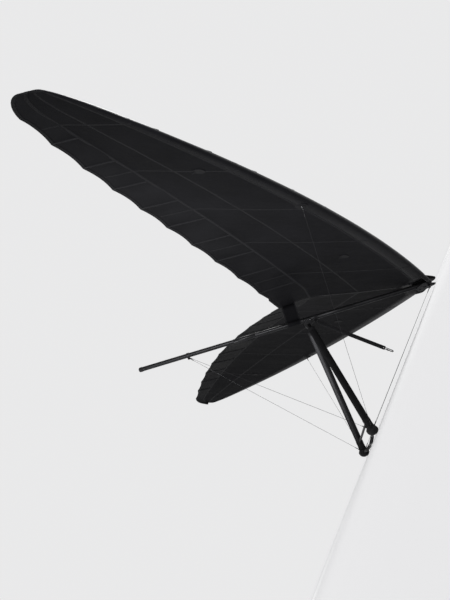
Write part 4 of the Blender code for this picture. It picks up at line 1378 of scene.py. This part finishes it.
# %% [markdown]
# The stays are laid wire rope. A real one shows six strands winding round each other, so the
# outline has six lobes and its normals turn steadily along the run. Each end has what a
# rigger puts there: the rope goes round a thimble, comes back beside itself, and a crimped
# sleeve holds both. Two cheeks and a pin join the thimble to the fitting.

# %% Stays and their ends
WIRE_R, ROPE_LAY, ROPE_STEP, LOBES = 0.0016, 0.036, 0.006, (0.80, 1.04) * 6
THIMBLE_R, PIN_OUT, SLEEVE_OUT, SLEEVE_LENGTH, CRIMPS = 0.0050, 0.0100, 0.0220, 0.0260, 4
CHEEK_OUT, CHEEK_APART, ROPES_APART, THIMBLE_POINT, STUB_BESIDE = 0.0035, 0.0036, 0.0017, 0.0150, 0.0026
CORNER_CLEAR, CLAMP_CLEAR, END_LENGTH = 0.056, 0.003, 0.058
CHEEK = rounded(0.0260, 0.0120, 0.0055)
END_PIN = [(-0.0062, 0.0044), (-0.0044, 0.0044), (-0.0044, 0.0028)]
END_PIN += [(0.0044, 0.0028), (0.0044, 0.0042), (0.0058, 0.0042)]
LINER = mirrored([(0.0026, -0.0005), (0.0026, 0.0006)])
CRIMP = [(0.0010, 0.0040), (0.0050, 0.0040), (0.0056, 0.0035), (0.0068, 0.0035)]


def rope(bm, start, stop):
    """A straight laid rope with six strands."""
    run = stop - start
    d = run.normalized()
    first = square_to(d)
    second = d.cross(first)
    shares = spaced(0, 1, max(2, round(run.length / ROPE_STEP)))
    turns = [math.tau * share * run.length / ROPE_LAY for share in shares]
    normals = [first * math.cos(t) + second * math.sin(t) for t in turns]
    strands = [(a * lobe, b * lobe) for (a, b), lobe in zip(round_outline(WIRE_R, len(LOBES)), LOBES)]
    sweep(bm, [start + run * share for share in shares], strands, normals)


def wire_end(bm, place, toward, flat):
    """Cheeks, pin, thimble and sleeve from a fitting at place out along the wire."""
    flat = square_to(toward, flat)
    wide = toward.cross(flat)
    pin = place + toward * PIN_OUT
    tail = pin + toward * SLEEVE_OUT
    for side in HANDS:
        cheek = place + toward * CHEEK_OUT + flat * (side * CHEEK_APART)
        slab(bm, cheek, toward, wide, CHEEK, 0.0014, 0.0003)
    turn(bm, pin, flat, END_PIN, 20)
    bight = arc(pin, toward, wide, THIMBLE_R, 52, 308, 20)
    path = [tail + wide * ROPES_APART, *bight, tail - wide * ROPES_APART]
    sweep(bm, path, round_outline(WIRE_R, 10), flat_normals(path, flat))
    point = pin + toward * THIMBLE_POINT
    thimble = [point, *arc(pin, toward, wide, THIMBLE_R - 0.0016, 52, 308, 16), point]
    sweep(bm, thimble, LINER, flat_normals(thimble, flat))
    step = (SLEEVE_LENGTH - 0.002) / CRIMPS
    crimps = [(k * step + d, radius) for k in range(CRIMPS) for d, radius in CRIMP]
    rows = [(0.0, 0.0032), *crimps, (SLEEVE_LENGTH, 0.0040), (SLEEVE_LENGTH + 0.001, 0.0030)]
    turn(bm, tail - toward * 0.0010, toward, rows, 24)
    stub = tail + toward * SLEEVE_LENGTH + wide * STUB_BESIDE
    sweep(bm, [stub - toward * 0.002, stub + toward * 0.006], round_outline(WIRE_R * 0.9, 10))


for name, hand in SIDES.items():
    for wire, far, clear, flat in (
        ("front_wire", nose_eye, EYE_RING, PORT),
        ("side_wire", side_eye[hand], EYE_RING, FORWARD),
        ("rear_wire", rear_eye[hand], CLAMP_CLEAR, PORT),
    ):
        run = (far - corner[hand]).normalized()
        low, high = corner[hand] + run * CORNER_CLEAR, far - run * clear
        stay, ends = fresh(2)
        rope(stay, low + run * END_LENGTH, high - run * END_LENGTH)
        piece(f"{wire}_{name}_rope", stay, stranded, f"{wire}_{name}")
        wire_end(ends, low, run, flat)
        wire_end(ends, high, -run, flat)
        piece(f"{wire}_{name}_ends", ends, steel, slot="wire", sharp=35)
print("stays of", 2 * WIRE_R * 1000, "mm rope")

# %% [markdown]
# On a folding wing a line pulls the frame open and is hooked on the keel behind the pocket.
# It is stretched tight, so it is a straight pair of cords with a webbing tail, and it hooks
# on a small plate with two bolt heads.

# %% Haul-back line
HAUL_START, HAUL_STOP, HAUL_UP, HAUL_R = 1.712, 2.015, 0.0305, 0.0022
HAUL_TAIL = [
    # behind the catch, across, above the cords
    (-0.020, 0.0, 0.0035),
    (0.020, 0.0, 0.005),
    (0.055, 0.002, -0.002),
    (0.085, 0.004, -0.0035),
]
haul, hook = fresh(2)
for side in HANDS:
    cord = [at(HAUL_START, side * 0.004, HAUL_UP + 0.006), at(HAUL_STOP, side * 0.0034, HAUL_UP)]
    sweep(haul, cord, round_outline(HAUL_R, 12))
bight = arc(at(HAUL_STOP, 0, HAUL_UP), PORT, AFT, 0.0034, 0, 180, 10)
sweep(haul, bight, round_outline(HAUL_R, 12), flat_normals(bight, UP))
tail = smooth_path([at(HAUL_STOP + aft, y, HAUL_UP + z) for aft, y, z in HAUL_TAIL], 6)
sweep(haul, tail, flat_tape(0.015, 0.0012, 0.0002), UP)
piece("haul_back_line", haul, webbing, sharp=40)
plate = at(HAUL_STOP + 0.012, 0, KEEL_R + 0.0016)
slab(hook, plate, AFT, PORT, rounded(0.052, 0.018, 0.008), 0.0030, 0.0006)
bolt(hook, at(HAUL_STOP + 0.002, 0, KEEL_R + 0.0030), UP, "hook")
bolt(hook, at(HAUL_STOP + 0.028, 0, KEEL_R + 0.0030), UP, "hook_plate")
piece("haul_back_catch", hook, steel)
print("haul-back line", round(HAUL_STOP - HAUL_START, 3), "m")

# %% [markdown]
# The hang loop is a band of webbing round the keel, pinched together under it, with a steel
# pin through its lower end. It moves as one body, so it touches nothing else. The band is a
# flat tape swept round a closed path that is drawn in the plane across the keel. A
# narrow keeper is stitched round the pinch.

# %% Hang loop and pin
LOOP_SAG, LOOP_R, PIN_DROP, PIN_R, WEB_WIDTH = 0.0007, 0.0277, 0.060, 0.006, 0.045
PINCH = [(-0.0095, -0.0305), (-0.0034, -0.0365), (-0.0020, -0.0410), (-0.0022, -0.0465), (-0.0048, -0.0520)]
KEEPER_Z, KEEPER_ROW, KEEPER_STITCHES = -0.0438, 0.0030, 12
pin_centre = Vector(hinges["strap_swing"]["pos_m"])


def hang_at(y, z):
    """A place in the plane across the keel at the hang point."""
    return at(HANG_AFT, y, z)


def tape_outline(width, thick):
    """A flat tape with soft edges, centred."""
    half, t = width / 2, thick / 2
    return mirrored([(half - 0.0012, -t), (half, -t * 0.5), (half, t * 0.5), (half - 0.0012, t)])


over = arc(hang_at(0, -LOOP_SAG), PORT, UP, LOOP_R, -48, 228, 40)
under_pin = arc(hang_at(0, -PIN_DROP), PORT, UP, PIN_R + 0.0018, -162, -18, 14)
down, back = [hang_at(y, z) for y, z in PINCH], [hang_at(-y, z) for y, z in reversed(PINCH)]
band, keeper, pin = fresh(3)
loop_path = over + down + under_pin + back
loop_normals = flat_normals(loop_path, FORWARD, closed=True)
sweep(band, loop_path, tape_outline(WEB_WIDTH, 0.0024), loop_normals, closed=True)
piece("hang_loop_webbing", band, webbing, "hang_loop", body="loop")
for side in HANDS:
    slab(keeper, hang_at(side * 0.0038, KEEPER_Z), FORWARD, UP, rounded(0.040, 0.0085, 0.001), 0.0010, 0.0003)
    for row in (-KEEPER_ROW, KEEPER_ROW):
        for along in spaced(-0.018, 0.018, KEEPER_STITCHES):
            middle = hang_at(side * 0.0044, KEEPER_Z + row) + FORWARD * along
            stitch(keeper, middle, FORWARD, 0.0020, 0.0004)
piece("hang_loop_keeper", keeper, webbing, body="loop", sharp=40)
pin_rows = [(-0.020, 0.0070), (-0.0192, 0.0080), (-0.0174, 0.0080), (-0.0174, PIN_R - 0.0001)]
turn(pin, pin_centre, PORT, mirrored(pin_rows), 40)
piece("hang_loop_pin", pin, steel, body="loop")
print("hang loop goes", round(length_of(loop_path), 3), "m round")

# %% [markdown]
# The strap hangs plumb from the pin. It forks at the top into two arms, one on each side of
# the loop, and is sewn into one thick strap below. Both arms are tapes swept along a short
# curve. Real holes are cut for the pin and for the carabiner, each ringed by a grommet, and
# rows of box stitching hold the plies.

# %% Strap, grommets and stitching
STRAP_LENGTH, STRAP_LOW, EYE_HOLE = 0.80, 0.0125, 0.0072
ARM_Y, PLY, SEWN_Y, SEWN_DROP = 0.01365, 0.0044, 0.0023, 0.150
ARM = [
    # across, down from the pin
    (ARM_Y, -0.0125),
    (ARM_Y, 0.0),
    (ARM_Y, 0.034),
    (0.0105, 0.062),
    (0.0052, 0.090),
    (0.0024, 0.114),
    (SEWN_Y, SEWN_DROP),
]
STITCH_LENGTH, STITCH_GAP, STITCH_R, STITCH_Y = 0.0032, 0.0046, 0.00045, 0.0046
CUTTER_HALF, PIN_CLEAR, PIN_GROMMET, EYE_GROMMET, EYE_Y = 0.03, 0.0012, 0.0034, 0.0016, 0.0047
BOX_HALF, ROW_HALF, BOXES = 0.018, 0.0195, ((0.125, 0.180), (0.705, 0.775))
ACROSS = Vector((1, 0, 0))


def strap_at(x, y, drop):
    """A place on the strap: along its width, across it, and down from the pin."""
    return pin_centre + Vector((x, y, -drop))


def stitch_row(bm, face_y, x0, drop0, x1, drop1):
    """A row of stitches on one face of the strap."""
    start, stop = strap_at(x0, face_y, drop0), strap_at(x1, face_y, drop1)
    run = (stop - start).normalized()
    for i in range(int((stop - start).length / STITCH_GAP)):
        stitch(bm, start + run * (STITCH_GAP * (i + 0.5)), run, STITCH_LENGTH, STITCH_R)


strap, holes, grommets, stitches = fresh(4)
for side in HANDS:
    path = smooth_path([strap_at(0, side * y, drop) for y, drop in ARM], 6)
    path += [strap_at(0, side * SEWN_Y, drop) for drop in spaced(SEWN_DROP, STRAP_LENGTH + STRAP_LOW, 40)[1:]]
    sweep(strap, path, tape_outline(WEB_WIDTH - 0.001, PLY), flat_normals(path, ACROSS))
    upper, lower = strap_at(0, side * (ARM_Y + PLY / 2), 0), strap_at(0, side * EYE_Y, STRAP_LENGTH)
    hoop(grommets, upper, PORT, PIN_R + PIN_GROMMET, 0.0011)
    hoop(grommets, lower, PORT, EYE_HOLE + EYE_GROMMET, 0.0014)
    for top, foot in BOXES:
        for a, b in ((-1, 1), (1, -1)):
            stitch_row(stitches, side * STITCH_Y, a * BOX_HALF, top, b * BOX_HALF, foot)
            stitch_row(stitches, side * STITCH_Y, a * BOX_HALF, top, a * BOX_HALF, foot)
        for drop in (top, foot):
            stitch_row(stitches, side * STITCH_Y, -BOX_HALF, drop, BOX_HALF, drop)
    for x in (-ROW_HALF, ROW_HALF):
        stitch_row(stitches, side * STITCH_Y, x, 0.190, x, 0.700)
sewn_strap = piece("hang_strap_webbing", strap, webbing, "hang_strap", body="strap")
for place, radius in ((pin_centre, PIN_R + PIN_CLEAR), (strap_at(0, 0, STRAP_LENGTH), EYE_HOLE)):
    turn(holes, place, PORT, [(-CUTTER_HALF, radius), (CUTTER_HALF, radius)], 36)
carve(sewn_strap, holes)
piece("hang_strap_grommets", grommets, steel, body="strap", sharp=40)
piece("hang_strap_stitching", stitches, stranded, body="strap", slot="webbing")
print("strap", STRAP_LENGTH, "m from pin to eye")

# %% [markdown]
# The carabiner is a rounded oval of steel bar. Its path is four quarter circles joined by
# straight sides. One side is the gate: a separate tube with a collar at each end, a knurled
# sleeve that screws over the nose, and rivets at both ends.

# %% Carabiner
RING_R, RING_HALF, RING_HEIGHT, RING_BEND = 0.005, 0.028, 0.105, 0.018
GATE_TOP, GATE_LOW = 0.027, 0.080
RING_CORNERS = [
    # side, down, start of the bend in degrees
    (1, RING_HEIGHT - RING_BEND, 0),
    (-1, RING_HEIGHT - RING_BEND, 270),
    (-1, RING_BEND, 180),
    (1, RING_BEND, 90),
]
GATE = [(0.0225, 0.0046), (0.0230, 0.0056), (0.0280, 0.0056), (0.0285, 0.0052)]
GATE += [(0.0790, 0.0052), (0.0795, 0.0056), (0.0840, 0.0056), (0.0845, 0.0046)]
GATE_SLEEVE = [(0.0310, 0.0054), (0.0320, 0.0066), (0.0535, 0.0066), (0.0545, 0.0054)]
ring_top = Vector(hinges["ring_swing"]["pos_m"])
ring_path = []
for side, drop, start in RING_CORNERS:
    centre = ring_top + Vector((0, side * (RING_HALF - RING_BEND), -drop))
    ring_path += arc(centre, PORT, PLUMB, RING_BEND, start, start - 90, 9)
body_path = [p for p in ring_path if p.y < RING_HALF - 0.001 or not GATE_TOP < ring_top.z - p.z < GATE_LOW]
oval, gate = fresh(2)
sweep(oval, body_path, round_outline(RING_R, 20), flat_normals(body_path, ACROSS, closed=True), closed=True)
piece("carabiner_body", oval, steel, "carabiner", body="ring", sharp=45)
gate_place = ring_top + PORT * RING_HALF
turn(gate, gate_place, -PLUMB, GATE, 32)
turn(gate, gate_place, -PLUMB, GATE_SLEEVE, 32)
for out in spokes(ACROSS, PORT, 20):
    sweep(gate, [gate_place + out * 0.0064 - PLUMB * d for d in (0.0330, 0.0520)], round_outline(0.0007, 6))
for drop in (0.0255, 0.0815):
    for out in (ACROSS, -ACROSS):
        rivet(gate, gate_place - PLUMB * drop + out * 0.0055, out, "gate")
piece("carabiner_gate", gate, machined, body="ring", sharp=35)
print("carabiner", RING_HEIGHT * 1000, "mm tall")

# %% [markdown]
# The wing tips are closed by a small strip of cloth between the two skins, bound where it is
# sewn. The strip is a row of quads with a slight bulge, and the bindings are flat tapes swept
# along both skins.

# %% Tips
TIP_Y, TIP_STEPS, TIP_BULGE = HALF_SPAN - 0.004, 26, 0.004
tip_cloth, tip_tape = fresh(2)
for hand in HANDS:
    shares = [k**1.6 * 0.985 for k in spaced(0, 1, TIP_STEPS)]
    tops = [skin(hand * TIP_Y, s, "top") for s in shares]
    lows = [skin(hand * TIP_Y, s, "under") for s in shares]
    middles = [a.lerp(b, 0.5) + PORT * (hand * TIP_BULGE) for a, b in zip(tops, lows)]
    join_rows(tip_cloth, [tops, middles, lows], flat_map(AFT, UP), ring=False)
    for line, out in ((tops, UP), (lows, DOWN)):
        inboard = [p - PORT * (hand * 0.0065) + out * 0.0010 for p in line]
        sweep(tip_tape, inboard, flat_tape(0.013, 0.0012, 0.0006), out)
bmesh.ops.remove_doubles(tip_cloth, verts=tip_cloth.verts, dist=0.00005)
piece("tip_closures", tip_cloth, sailcloth)
piece("tip_bindings", tip_tape, seam_tape)
print("tip chord", round(chord_at(TIP_Y), 3), "m")

# %% [markdown]
# Each batten is held in by a cord that loops over a moulded tip behind the trailing edge. The
# tip is a short turned plug, and the cord is a loop that starts and ends in the cloth. They
# are small, but they break up the straight edge of the wing as they do on the real one.

# %% Batten tips and their cords
BATTEN_TIP = [(-0.030, 0.0036), (-0.002, 0.0036), (0.0, 0.0050), (0.004, 0.0050), (0.005, 0.0034)]
BATTEN_TIP += [(0.009, 0.0034), (0.010, 0.0048), (0.014, 0.0048), (0.016, 0.0030)]
CORD_KNOT = [(0.0, 0.0040), (0.0014, 0.0036), (0.0024, 0.0020)]
plugs, cords = fresh(2)
for y in batten_stations:
    end = skin(y, 0.999, "top")
    d, out = (end - skin(y, 0.975, "top")).normalized(), skin_normal(y, 0.990, "top")
    wide = d.cross(out).normalized()
    turn(plugs, end - out * 0.0014, d, BATTEN_TIP, 18)
    around = arc(end + d * 0.0070 - out * 0.0014, wide, d, 0.0046, 0, 180, 2)
    start, stop = [end - d * 0.034 + wide * (side * 0.0100) for side in HANDS]
    cord = smooth_path([start + out * 0.0018, *around, stop + out * 0.0018], 5)
    sweep(cords, cord, round_outline(0.0013, 8))
    for anchor in (start, stop):
        turn(cords, anchor + out * 0.0004, out, CORD_KNOT, 12)
piece("batten_tips", plugs, moulded)
piece("batten_cords", cords, webbing)
print("batten tips:", len(batten_stations))

# %% [markdown]
# The under sheet opens along the middle with a zip, so that the frame can be reached. It is
# two tapes, a row of small teeth and a slider, laid along the chord on the cloth. Two
# round inspection ports with flaps sit on each wing, farther out. Their rims are hoops.

# %% Centre zip and inspection ports
ZIP_START, ZIP_STOP, ZIP_STEPS, ZIP_TAPE, TOOTH_STEP = 0.12, 0.70, 40, 0.016, 0.005
PORT_SHARE, PORT_R, PORT_STATIONS = 0.30, 0.052, (1.125, 3.375)
PORT_RIM = [(-0.0006, PORT_R), (0.0012, PORT_R), (0.0020, PORT_R - 0.003), (0.0016, PORT_R - 0.006)]
tapes, teeth, ports = fresh(3)
path, normals = on_skin(along_chord(0.0, ZIP_START, ZIP_STOP, ZIP_STEPS), "under", -0.0006)
for side in HANDS:
    sweep(tapes, [p + PORT * (side * 0.0105) for p in path], flat_tape(ZIP_TAPE, 0.0012), normals)
piece("centre_zip_tapes", tapes, seam_tape)
sweep(teeth, path, mirrored([(0.0026, 0.0004), (0.0020, 0.0018)]), normals)
travelled, due = 0.0, 0.0
for start, stop, out in zip(path, path[1:], normals):
    d = (stop - start).normalized()
    while due < travelled + (stop - start).length:
        middle = start + d * (due - travelled) + out * 0.0018
        slab(teeth, middle, d, PORT, rounded(0.0026, 0.0066, 0.0006, 1), 0.0014, 0.0)
        due += TOOTH_STEP
    travelled += (stop - start).length
slider, out, d = path[2], normals[2], (path[3] - path[2]).normalized()
slab(teeth, slider + out * 0.0032, d, PORT, rounded(0.015, 0.011, 0.003), 0.0032, 0.0006)
slab(teeth, slider + out * 0.0058 + d * 0.014, d, PORT, rounded(0.030, 0.006, 0.0028), 0.0012, 0.0003)
piece("centre_zip_teeth", teeth, moulded)
for y in [hand * y for hand in HANDS for y in PORT_STATIONS]:
    base, out = skin(y, PORT_SHARE, "under", -0.0024), skin_normal(y, PORT_SHARE, "under")
    turn(ports, base, out, PORT_RIM, 44)
    hoop(ports, base + out * 0.0018, out, PORT_R - 0.003, 0.0014, 44, 8)
    flap = base + out * 0.0022 + AFT * (PORT_R - 0.006)
    slab(ports, flap, AFT, PORT, rounded(0.030, 0.018, 0.003), 0.0016, 0.0003)
piece("inspection_ports", ports, seam_tape, sharp=35)
print("zip", round(travelled, 3), "m")

# %% [markdown]
# Once the cloth's tapes and fittings exist, the pieces sewn to the top sheet are listed. Its
# area is measured on the mesh, because no cut here is a rectangle.

# %% Sheets of cloth
TOP_GOES = ["batten_pockets_top", "batten_pockets_rear", "panel_seams"]
TOP_GOES += ["edge_binding", "tip_closures", "tip_bindings"]
